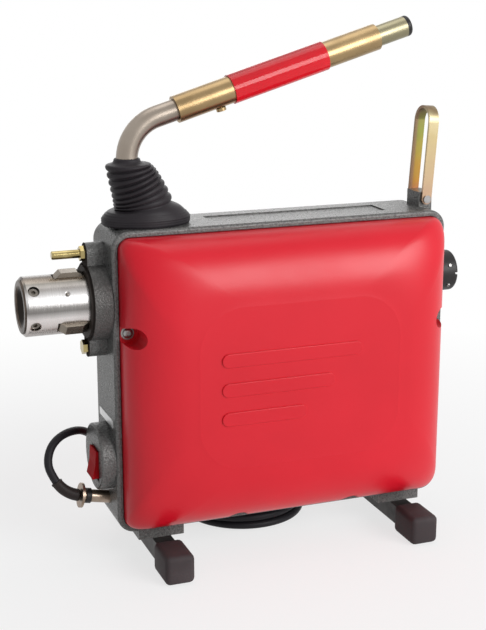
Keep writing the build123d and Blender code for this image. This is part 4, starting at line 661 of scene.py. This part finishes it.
def lever_nickel():
    """Warm nickel that turns yellow past the grip."""
    material, tree, shader = grained_metal("nickel", (0.24, 0.20, 0.165), (0.34, 0.295, 0.25), 0.3, 22.0)
    past_grip = spread(tree, along_axis(tree, "X"), *NICKEL_TURNS_X, 0.0, 1.0)
    nickel = linked(shader, "Base Color")
    connect(tree, mix_colours(tree, past_grip, nickel, (0.265, 0.24, 0.155)), shader, "Base Color")
    return material


def strap_zinc():
    """Iridescent yellow zinc, green through gold to pink down the strap; painted shade darkens the far leg
    and its left edge.
    """
    material, tree, shader = new_material("strap_zinc")
    height = along_axis(tree, "Z")
    cloud = noise(tree, object_coords(tree), 55.0, 4.0)
    drift = calculate(tree, "MULTIPLY", calculate(tree, "SUBTRACT", cloud, 0.5), STRAP_CLOUD_SHIFT)
    rise = spread(tree, calculate(tree, "ADD", height, drift), *STRAP_COLOUR_Z, 0.0, 1.0)
    # Painted light and shade: the far leg's colours darker, the near leg's lighter
    far = ramp(tree, rise, STRAP_SHADED_FAR_LEG)
    near = ramp(tree, rise, STRAP_LIT_NEAR_LEG)
    lean = calculate(tree, "MULTIPLY", calculate(tree, "SUBTRACT", height, STRAP_AT[1]), STRAP_LEAN)
    from_pin = calculate(tree, "SUBTRACT", along_axis(tree, "X"), STRAP_AT[0])
    # Painted shade along the far leg's left edge
    edge = spread(tree, calculate(tree, "SUBTRACT", from_pin, lean), *STRAP_SHADED_EDGE, 0.8, 0.0)
    far = mix_colours(tree, edge, far, (0.21, 0.13, 0.09))
    side = spread(tree, along_axis(tree, "Y"), -STRAP_LEG_Y, STRAP_LEG_Y, 0.0, 1.0)
    connect(tree, mix_colours(tree, side, near, far), shader, "Base Color")
    shader.inputs["Metallic"].default_value = 1.0
    connect(tree, spread(tree, cloud, 0.3, 0.7, 0.36, 0.48), shader, "Roughness")
    bump(tree, shader, noise(tree, object_coords(tree), 700.0, 2.0), 0.00005, 0.5)
    return material


def black_rubber(name, dark, light, rough):
    """Matt rubber with dusty patches and a fine pebble."""
    material, tree, shader = new_material(name)
    vector = object_coords(tree)
    dusty = use_group(tree, SCUFFS, Patch_Scale=26.0, Fine_Scale=500.0)
    connect(tree, ramp(tree, dusty.outputs["Mask"], [(0.0, dark), (0.7, light)]), shader, "Base Color")
    connect(tree, spread(tree, dusty.outputs["Mask"], 0.0, 0.6, rough, rough + 0.15), shader, "Roughness")
    shader.inputs["Specular IOR Level"].default_value = 0.18
    bump(tree, shader, noise(tree, vector, 800.0, 3.0), 0.00012, 0.6)
    return material


def moulded_plastic(name, dark, light, rough, gloss=0.3, grain=0.00006):
    """Moulded plastic, or steel painted dark as shade, with slight colour drift and a fine texture."""
    material, tree, shader = new_material(name)
    vector = object_coords(tree)
    cloud = noise(tree, vector, 40.0, 3.0)
    connect(tree, ramp(tree, cloud, [(0.3, dark), (0.7, light)]), shader, "Base Color")
    worn = use_group(tree, SCUFFS, Patch_Scale=40.0, Fine_Scale=600.0)
    connect(tree, spread(tree, worn.outputs["Mask"], 0.0, 0.6, rough, rough + 0.12), shader, "Roughness")
    shader.inputs["Specular IOR Level"].default_value = gloss
    bump(tree, shader, noise(tree, vector, 900.0, 2.0), grain, 0.5)
    return material


# Darker colour, lighter colour, roughness and, where it isn't the usual one, the scale of the clouds
PLAIN_METALS = {
    "jaw_steel": ((0.16, 0.135, 0.11), (0.30, 0.26, 0.215), 0.22, 60.0),
    "dark_steel": ((0.045, 0.042, 0.042), (0.12, 0.115, 0.11), 0.34),
    "socket_steel": ((0.13, 0.115, 0.10), (0.27, 0.25, 0.225), 0.26),
    "collar_brown": ((0.040, 0.030, 0.024), (0.105, 0.082, 0.066), 0.34),
    "bar_black": ((0.036, 0.033, 0.033), (0.072, 0.067, 0.066), 0.45),
    "gold_zinc": ((0.28, 0.193, 0.098), (0.39, 0.278, 0.145), 0.29, 35.0),
    "stud_gold": ((0.27, 0.21, 0.085), (0.48, 0.39, 0.18), 0.14, 60.0),
    "screw_steel": ((0.24, 0.235, 0.23), (0.38, 0.37, 0.365), 0.28, 150.0),
    "gland_bronze": ((0.24, 0.18, 0.135), (0.38, 0.30, 0.24), 0.28, 120.0),
    "plate_silver": ((0.55, 0.55, 0.55), (0.70, 0.70, 0.70), 0.35),
    "motor_iron": ((0.10, 0.105, 0.11), (0.17, 0.175, 0.18), 0.5, 60.0),
    "motor_alloy": ((0.42, 0.42, 0.42), (0.56, 0.56, 0.56), 0.42, 60.0),
}

# Darker colour, lighter colour and roughness
RUBBERS = {
    "boot_rubber": ((0.020, 0.017, 0.020), (0.040, 0.035, 0.039), 0.46),
    "foot_rubber": ((0.056, 0.045, 0.047), (0.094, 0.078, 0.081), 0.62),
    "sleeve_rubber": ((0.024, 0.018, 0.017), (0.046, 0.037, 0.034), 0.5),
    "cord_jacket": ((0.013, 0.012, 0.015), (0.028, 0.026, 0.030), 0.46),
}

# Darker colour, lighter colour, roughness and, where they aren't the usual ones, gloss and depth of grain
PLASTICS = {
    # Painted shade: the pressure sleeve in the housing's recess is near black and hardly reflects
    "painted_shade_steel": ((0.040, 0.033, 0.030), (0.075, 0.064, 0.058), 0.5, 0.03),
    "black_plastic": ((0.010, 0.009, 0.009), (0.022, 0.020, 0.020), 0.42),
    "grey_plastic": ((0.40, 0.40, 0.39), (0.50, 0.50, 0.49), 0.45),
    "grip_red": ((0.66, 0.005, 0.015), (0.74, 0.008, 0.019), 0.1, 0.32, 0.000002),
    "rocker_red": ((0.42, 0.007, 0.011), (0.54, 0.010, 0.015), 0.55, 0.05),
}

MATERIALS = {
    "hammer_grey": hammer_grey("hammer_grey")[0],
    "housing_grey": housing_grey(),
    "cover_red": cover_red(),
    "bright_steel": bright_steel(),
    "chuck_steel": chuck_steel(),
    "nickel": lever_nickel(),
    "strap_zinc": strap_zinc(),
}
MATERIALS.update({name: plain_metal(name, *look) for name, look in PLAIN_METALS.items()})
MATERIALS.update({name: black_rubber(name, *look) for name, look in RUBBERS.items()})
MATERIALS.update({name: moulded_plastic(name, *look) for name, look in PLASTICS.items()})

FINISHES = {
    "hammer_grey": ("main_casting",),
    "housing_grey": ("front_bearing_housing",),
    "cover_red": ("front_cover", "rear_cover"),
    "bright_steel": ("hollow_spindle", "front_bearing", "rear_bearing", "thrust_ring", "push_pins",
                     "return_spring", "lever_pivot_pin", "plug_pins"),
    "chuck_steel": ("chuck_body",),
    "jaw_steel": ("jaw_1", "jaw_2", "jaw_3"),
    "screw_steel": ("cover_screws", "foot_bolts", "latch_pin"),
    "collar_brown": ("chuck_collar",),
    "socket_steel": ("chuck_screws", "chuck_pins"),
    "dark_steel": ("lever_fork",),
    "painted_shade_steel": ("pressure_sleeve",),
    "bar_black": ("foot_bars",),
    "gold_zinc": ("grip_tube", "grip_screw"),
    "stud_gold": ("guide_stud", "flange_bolt"),
    "nickel": ("lever_tube",),
    "gland_bronze": ("cable_gland", "gland_nut"),
    "strap_zinc": ("latch_strap",),
    "boot_rubber": ("lever_boot", "drive_belt"),
    "foot_rubber": ("foot_caps",),
    "sleeve_rubber": ("bend_sleeve",),
    "cord_jacket": ("cord_lead", "cord_coil"),
    "black_plastic": ("hose_coupling", "lever_end_cap", "switch_frame", "switch_module", "gland_ring",
                      "coil_tie", "mains_plug", "motor_fan", "spindle_seal"),
    "grey_plastic": ("coupling_washer",),
    "grip_red": ("grip_sleeve",),
    "rocker_red": ("switch_rocker",),
    "plate_silver": ("rating_plate",),
    "motor_iron": ("motor_housing", "motor_rotor"),
    "motor_alloy": ("motor_fan_end", "motor_drive_end", "motor_saddle", "run_capacitor", "spindle_pulley",
                    "motor_pulley"),
}


def dress_nodes():
    """Gives every CAD node its finish."""
    for finish, nodes in FINISHES.items():
        for node in nodes:
            dress(NODES[node], MATERIALS[finish])


# Mains lead
def coil_point(turned):
    """A point of the coil after an angle turned: in on the floor, up a layer and out again."""
    middle = COIL_TURNED / 2
    inner_r = COIL_R - COIL_STEP * middle / 360
    from_middle = abs(turned - middle)
    if from_middle >= COIL_REVERSE_DEG:
        radius = inner_r + COIL_STEP * from_middle / 360
    else:
        round_off = (COIL_REVERSE_DEG**2 + from_middle**2) / (2 * COIL_REVERSE_DEG)
        radius = inner_r + COIL_STEP * round_off / 360
    share = min(max((turned - middle) / COIL_REVERSE_DEG, -1), 1) / 2 + 0.5
    height = COIL_LOW + COIL_STEP * share**2 * (3 - 2 * share)
    angle = math.radians(COIL_START_DEG - turned)
    return Vector((COIL_AT[0] + radius * math.cos(angle), COIL_AT[1] + radius * math.sin(angle), height))


def lead_points():
    """The lead's route: from the bend sleeve down to the floor, round the coil and on to the plug."""
    turns = [COIL_POINT_DEG * step for step in range(int(COIL_TURNED / COIL_POINT_DEG) + 1)]
    route = [Vector(point) for point in LEAD_ROUTE] + [coil_point(turned) for turned in turns]
    way = (coil_point(COIL_TURNED) - coil_point(COIL_TURNED - 1)).normalized()
    way.z = 0
    return route + [route[-1] + way * COIL_TAIL / 2, route[-1] + way * COIL_TAIL]


def lead_curve(route):
    """One smooth spline along a route, as thick as the lead."""
    curve = bpy.data.curves.new("mains_lead", "CURVE")
    curve.dimensions = "3D"
    curve.bevel_depth = CORD_R
    curve.bevel_resolution = CORD_ROUND_STEPS
    curve.use_fill_caps = True
    spline = curve.splines.new("NURBS")
    spline.points.add(len(route) - 1)
    for point, place in zip(spline.points, route):
        point.co = (place.x + CASTING_X, place.y, place.z, 1.0)
    spline.order_u = 3
    spline.use_endpoint_u = True
    spline.resolution_u = CORD_LENGTH_STEPS
    return curve


def mains_lead():
    """The lead from the bend sleeve to the plug, with its coil on the floor."""
    lead = bpy.data.objects.new("mains_lead", lead_curve(lead_points()))
    bpy.context.scene.collection.objects.link(lead)
    dress(lead, MATERIALS["cord_jacket"])
    put_in(lead, "frame", "cord_black", "cord_lead", "cord_coil")


# Bend sleeve
def sleeve_ring(share, radius):
    """A ring of the bent sleeve, at a share of its turn."""
    turn = math.radians(SLEEVE_TURN * share)
    x = -GLAND_L - SLEEVE_BEND_R * math.sin(turn)
    z = SLEEVE_BEND_R * (1 - math.cos(turn))
    return (x, z, 90 - SLEEVE_TURN * share, radius, radius)


def bend_sleeve():
    """The tapered rubber sleeve that guards the lead, with a blunt lip at its end."""
    rings = []
    for step in range(SLEEVE_STEPS):
        share = step / SLEEVE_STEPS
        rings.append(sleeve_ring(share, SLEEVE_ROOT_R + (SLEEVE_TIP_R - SLEEVE_ROOT_R) * share))
    for share, proud in SLEEVE_LIP_OUTLINE:
        rings.append(sleeve_ring(share, SLEEVE_TIP_R + SLEEVE_LIP * proud))
    rings.append(sleeve_ring(1.0, CORD_R))
    sleeve = ring_shell("lead_sleeve", rings, SLEEVE_SIDES)
    place = Matrix.Translation(Vector(GLAND_AT) + Vector((CASTING_X, 0, 0)))
    tilt = Matrix.Rotation(math.radians(GLAND_TILT), 4, "Y")
    roll = Matrix.Rotation(-math.radians(SLEEVE_ROLL), 4, "X")
    sleeve.matrix_world = place @ tilt @ roll
    settle(sleeve)
    add_modifier(sleeve, "SUBSURF", levels=1, render_levels=1)
    smooth(sleeve, degrees=60)
    dress(sleeve, MATERIALS["sleeve_rubber"])
    put_in(sleeve, "frame", "rubber_black", "bend_sleeve")


# Lever boot
def boot_ring(rise, radius):
    """A ring of the boot at a height over the casting's top."""
    share = min(max(rise - BOOT_BEND_RISE, 0) / (BOOT_TOP_RISE - BOOT_BEND_RISE), 1)
    x = CASTING_X + BOOT_FOOT_X + (BOOT_TOP_X - BOOT_FOOT_X) * share
    flare = max(radius - BOOT_WAIST_R, 0) / (BOOT_LIP_R - BOOT_WAIST_R)
    across = min(radius, BOOT_WAIST_R) + (BOOT_SIDE_R - BOOT_WAIST_R) * flare
    return (x, CASTING_TOP + rise, BOOT_TILT * math.sin(math.pi * share), radius, across)


def flange_radius(rise):
    """The flange's radius at a height, between the points of its outline."""
    for (low, low_r), (high, high_r) in zip(BOOT_FLANGE, BOOT_FLANGE[1:]):
        if rise <= high:
            return low_r + (high_r - low_r) * (rise - low) / (high - low)
    return BOOT_FLANGE[-1][1]


def flange_rings():
    """The flange from its foot to the waist, with fine ridges round it."""
    rings = [boot_ring(0, BOOT_FLANGE[0][1])]
    for ridge in range(BOOT_RIDGES):
        for share, depth in BOOT_RIDGE_OUTLINE:
            rise = BOOT_RIDGE_RISE + BOOT_RIDGE_PITCH * (ridge + share)
            rings.append(boot_ring(rise, flange_radius(rise) - BOOT_RIDGE_DEPTH * depth))
    rings.append(boot_ring(*BOOT_FLANGE[-1]))
    rings.append(boot_ring(BOOT_WAIST_RISE, BOOT_WAIST_R))
    return rings


def rib_rings():
    """The ribs of the neck: round crests with tight folds between them."""
    rings = []
    for rib in range(BOOT_RIBS):
        crest_r = BOOT_RIB_LOW_R + (BOOT_RIB_HIGH_R - BOOT_RIB_LOW_R) * rib / (BOOT_RIBS - 1)
        for share, depth in BOOT_RIB_OUTLINE:
            rise = BOOT_RIB_RISE + BOOT_RIB_PITCH * (rib + share)
            rings.append(boot_ring(rise, crest_r - BOOT_RIB_DEPTH * depth))
    return rings


def boot_bore_rings():
    """The collar on the tube, and the inside of the boot down to its foot."""
    top = BOOT_TOP_RISE + BOOT_COLLAR_H
    rings = [boot_ring(BOOT_TOP_RISE, BOOT_COLLAR_R), boot_ring(top - BOOT_COLLAR_H / 4, BOOT_COLLAR_R)]
    rings += [boot_ring(top, BOOT_COLLAR_R - BOOT_COLLAR_H / 4), boot_ring(top, BOOT_BORE_R)]
    rings.append(boot_ring(BOOT_TOP_RISE, BOOT_BORE_R))
    inner_top = BOOT_RIB_HIGH_R - BOOT_RIB_DEPTH - BOOT_WALL
    inner_low = BOOT_WAIST_R - BOOT_RIB_DEPTH - BOOT_WALL
    for share in BOOT_BORE_SHARES:
        rise = BOOT_WAIST_RISE + (BOOT_TOP_RISE - BOOT_WAIST_RISE) * share
        rings.append(boot_ring(rise, inner_low + (inner_top - inner_low) * share))
    rings.append(boot_ring(BOOT_BEND_RISE - BOOT_WALL, flange_radius(BOOT_BEND_RISE) - 2 * BOOT_WALL))
    rings.append(boot_ring(BOOT_WALL, BOOT_FLANGE[0][1] - BOOT_WALL))
    rings.append(boot_ring(0, BOOT_FLANGE[0][1] - BOOT_WALL))
    return rings


def lever_boot():
    """The ribbed boot, whose neck leans over from the casting to the lever."""
    rings = flange_rings() + rib_rings() + boot_bore_rings()
    boot = ring_shell("rubber_boot", rings + rings[:1], BOOT_SIDES)
    add_modifier(boot, "SUBSURF", levels=1, render_levels=1)
    smooth(boot, degrees=75)
    dress(boot, MATERIALS["boot_rubber"])
    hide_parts("lever_boot")
    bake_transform(boot)


# Foot caps
def open_mouth(cap):
    """Sinks the mouth into the cap's rear face."""
    for face in cap.data.polygons:
        face.select = face.normal.y > 0.99
    bpy.ops.object.mode_set(mode="EDIT")
    bpy.ops.mesh.inset(thickness=CAP_MOUTH, depth=0)
    bpy.ops.mesh.extrude_region_move(TRANSFORM_OT_translate={"value": (0, -CAP_MOUTH_DEPTH, 0)})
    bpy.ops.object.mode_set(mode="OBJECT")


def foot_cap():
    """A soft-edged square cap with an open mouth at its rear, modelled at the near left foot."""
    deselect_all()
    middle = (CASTING_X - CAP_X, -CAP_NEAR_Y - CAP_L / 2, CAP_SIDE / 2)
    bpy.ops.mesh.primitive_cube_add(size=1.0, location=middle)
    cap = named("foot_cap_1")
    cap.scale = (CAP_SIDE, CAP_L, CAP_SIDE)
    settle(cap)
    bpy.ops.object.mode_set(mode="EDIT")
    bpy.ops.mesh.select_all(action="SELECT")
    bpy.ops.mesh.bevel(offset=CAP_ROUND, segments=CAP_ROUND_STEPS, affect="EDGES")
    bpy.ops.mesh.select_all(action="DESELECT")
    bpy.ops.object.mode_set(mode="OBJECT")
    open_mouth(cap)
    face_outwards(cap)
    smooth(cap, degrees=50)
    dress(cap, MATERIALS["foot_rubber"])
    return cap


def foot_caps():
    """The cap at each end of both foot bars."""
    near_left = foot_cap()
    near_right = copied(near_left, "foot_cap_2")
    near_right.location.x = 2 * CAP_X
    caps = [near_left, settle(near_right)]
    for number, near in enumerate(list(caps)):
        far = copied(near, f"foot_cap_{number + 3}")
        far.matrix_world = Matrix.Translation((2 * CASTING_X, 0, 0)) @ Matrix.Rotation(math.pi, 4, "Z")
        caps.append(settle(far))
    for cap in caps:
        put_in(cap, "frame", "rubber_black", "foot_caps")


# Hose coupling
def coupling_screw():
    """A button head with a round socket, modelled upright."""
    rings = [(0.0, rise, 0.0, radius, radius) for rise, radius in COUPLING_SCREW_HEAD]
    screw = ring_shell("coupling_screw_1", rings, COUPLING_SCREW_SIDES)
    smooth(screw, degrees=35)
    dress(screw, MATERIALS["screw_steel"])
    return screw


def coupling_screws():
    """The screws round the coupling, each standing out from its skin."""
    screws = numbered(coupling_screw(), "coupling_screw", COUPLING_SCREWS)
    axis = Matrix.Translation((CASTING_X + COUPLING_SCREW_X, 0, AXIS_Z))
    for number, screw in enumerate(screws):
        turn = math.radians(90 - COUPLING_SCREW_DEG + 360 * number / COUPLING_SCREWS)
        screw.matrix_world = axis @ Matrix.Rotation(turn, 4, "X") @ Matrix.Translation((0, 0, COUPLING_R))
        put_in(settle(screw), "frame", "bright_steel")


# Cover screws
def cover_screw():
    """A button-head screw, modelled upright with its washer face at the bottom of its pocket."""
    outline = COVER_SCREW_SHANK + COVER_SCREW_WASHER + COVER_SCREW_HEAD
    rings = [(0.0, rise, 0.0, radius, radius) for rise, radius in outline]
    screw = ring_shell("cover_screw_1", rings, COVER_SCREW_SIDES)
    smooth(screw, degrees=35)
    dress(screw, MATERIALS["screw_steel"])
    return screw


def cover_screws():
    """The two screws of each cover, with their heads to the outside."""
    places = [(x, z, side) for side in (-1, 1) for x, z in COVER_SCREW_PLACES]
    screws = numbered(cover_screw(), "cover_screw", len(places))
    for screw, (x, z, side) in zip(screws, places):
        place = Matrix.Translation((CASTING_X + x, side * COVER_FACE_Y, z))
        screw.matrix_world = place @ Matrix.Rotation(-side * math.pi / 2, 4, "X")
        put_in(settle(screw), "frame", "bright_steel", "cover_screws")


# Return spring
def return_spring():
    """The wire wound round the spindle."""
    low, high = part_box("return_spring")
    length = high[0] - low[0]
    deselect_all()
    bpy.ops.mesh.primitive_circle_add(vertices=SPRING_SIDES, radius=SPRING_WIRE_R, location=(0, SPRING_R, 0))
    spring = settle(named("thrust_spring"))
    pitch = (length - 2 * SPRING_WIRE_R) / SPRING_TURNS
    add_modifier(spring, "SCREW", axis="X", angle=2 * math.pi, screw_offset=pitch, iterations=SPRING_TURNS,
                 steps=SPRING_STEPS, render_steps=SPRING_STEPS)
    spring.location = (low[0] + SPRING_WIRE_R, 0, AXIS_Z)
    settle(spring)
    bpy.ops.object.mode_set(mode="EDIT")
    bpy.ops.mesh.select_all(action="SELECT")
    bpy.ops.mesh.fill_holes(sides=0)
    bpy.ops.object.mode_set(mode="OBJECT")
    face_outwards(spring)
    smooth(spring, degrees=50)
    dress(spring, MATERIALS["bright_steel"])
    put_in(spring, "frame", "bright_steel", "return_spring")
    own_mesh(spring)


# Studio
def area_light(name, at, aim, watts):
    """A rectangular lamp that faces a point."""
    light = bpy.data.lights.new(name, "AREA")
    light.shape = "RECTANGLE"
    light.size, light.size_y = LAMP_SIZE
    light.energy = watts
    lamp = bpy.data.objects.new(name, light)
    lamp.location = at
    lamp.rotation_euler = (Vector(aim) - Vector(at)).to_track_quat("-Z", "Y").to_euler()
    bpy.context.scene.collection.objects.link(lamp)


def white_backdrop(tree, shade, white, output, share=1.0):
    """A share of white for the camera and for reflections, and the plain shade for light."""
    path = tree.nodes.new("ShaderNodeLightPath")
    seen = calculate(tree, "MAXIMUM", path.outputs["Is Camera Ray"], path.outputs["Is Glossy Ray"])
    seen = calculate(tree, "MAXIMUM", seen, path.outputs["Is Transmission Ray"])
    seen = calculate(tree, "MULTIPLY", seen, share)
    mix = tree.nodes.new("ShaderNodeMixShader")
    tree.links.new(seen, mix.inputs["Fac"])
    tree.links.new(shade, mix.inputs[1])
    tree.links.new(white, mix.inputs[2])
    tree.links.new(mix.outputs["Shader"], output)


def studio_world():
    """A pale grey world that the camera sees as white."""
    world = bpy.data.worlds.new("studio")
    bpy.context.scene.world = world
    world.use_nodes = True
    tree = world.node_tree
    tree.nodes.clear()
    output = tree.nodes.new("ShaderNodeOutputWorld")
    shade = tree.nodes.new("ShaderNodeBackground")
    shade.inputs["Color"].default_value = WORLD_COLOUR
    shade.inputs["Strength"].default_value = WORLD_LIGHT
    white = tree.nodes.new("ShaderNodeBackground")
    white.inputs["Color"].default_value = (1, 1, 1, 1)
    white.inputs["Strength"].default_value = 1.0
    white_backdrop(tree, shade.outputs["Background"], white.outputs["Background"], output.inputs["Surface"])


def studio_floor():
    """A pale floor that keeps the shadow near the object and runs out into the white."""
    deselect_all()
    bpy.ops.mesh.primitive_plane_add(size=FLOOR_SIZE, location=(0, 0, -FLOOR_DROP))
    floor = named("studio_floor")
    settle(floor)
    material, tree, shader = new_material("pale_floor")
    shader.inputs["Base Color"].default_value = FLOOR_COLOUR
    shader.inputs["Roughness"].default_value = FLOOR_ROUGH
    white = tree.nodes.new("ShaderNodeEmission")
    white.inputs["Strength"].default_value = 1.0
    reach = tree.nodes.new("ShaderNodeVectorMath")
    reach.operation = "LENGTH"
    tree.links.new(object_coords(tree), reach.inputs[0])
    share = spread(tree, reach.outputs["Value"], *FLOOR_FADE, FLOOR_WHITE, 1.0)
    white_backdrop(tree, shader.outputs["BSDF"], white.outputs["Emission"],
                   tree.nodes["Material Output"].inputs["Surface"], share)
    dress(floor, material)


def photo_camera():
    """The camera at the photograph's viewing angle."""
    scene = bpy.context.scene
    data = bpy.data.cameras.new("photo_camera")
    data.lens = CAMERA_LENS
    data.sensor_width = CAMERA_SENSOR
    data.sensor_fit = "AUTO"
    data.clip_end = CAMERA_REACH
    camera = bpy.data.objects.new("photo_camera", data)
    camera.location = CAMERA_AT
    camera.rotation_euler = (Vector(CAMERA_AIM) - Vector(CAMERA_AT)).to_track_quat("-Z", "Y").to_euler()
    scene.collection.objects.link(camera)
    scene.camera = camera


def studio():
    """Camera, lamps, floor and world."""
    bpy.context.scene.view_settings.view_transform = "Standard"
    photo_camera()
    studio_world()
    studio_floor()
    for lamp in LAMPS:
        area_light(*lamp)


dress_nodes()
mains_lead()
bend_sleeve()
lever_boot()
foot_caps()
coupling_screws()
cover_screws()
return_spring()
studio()
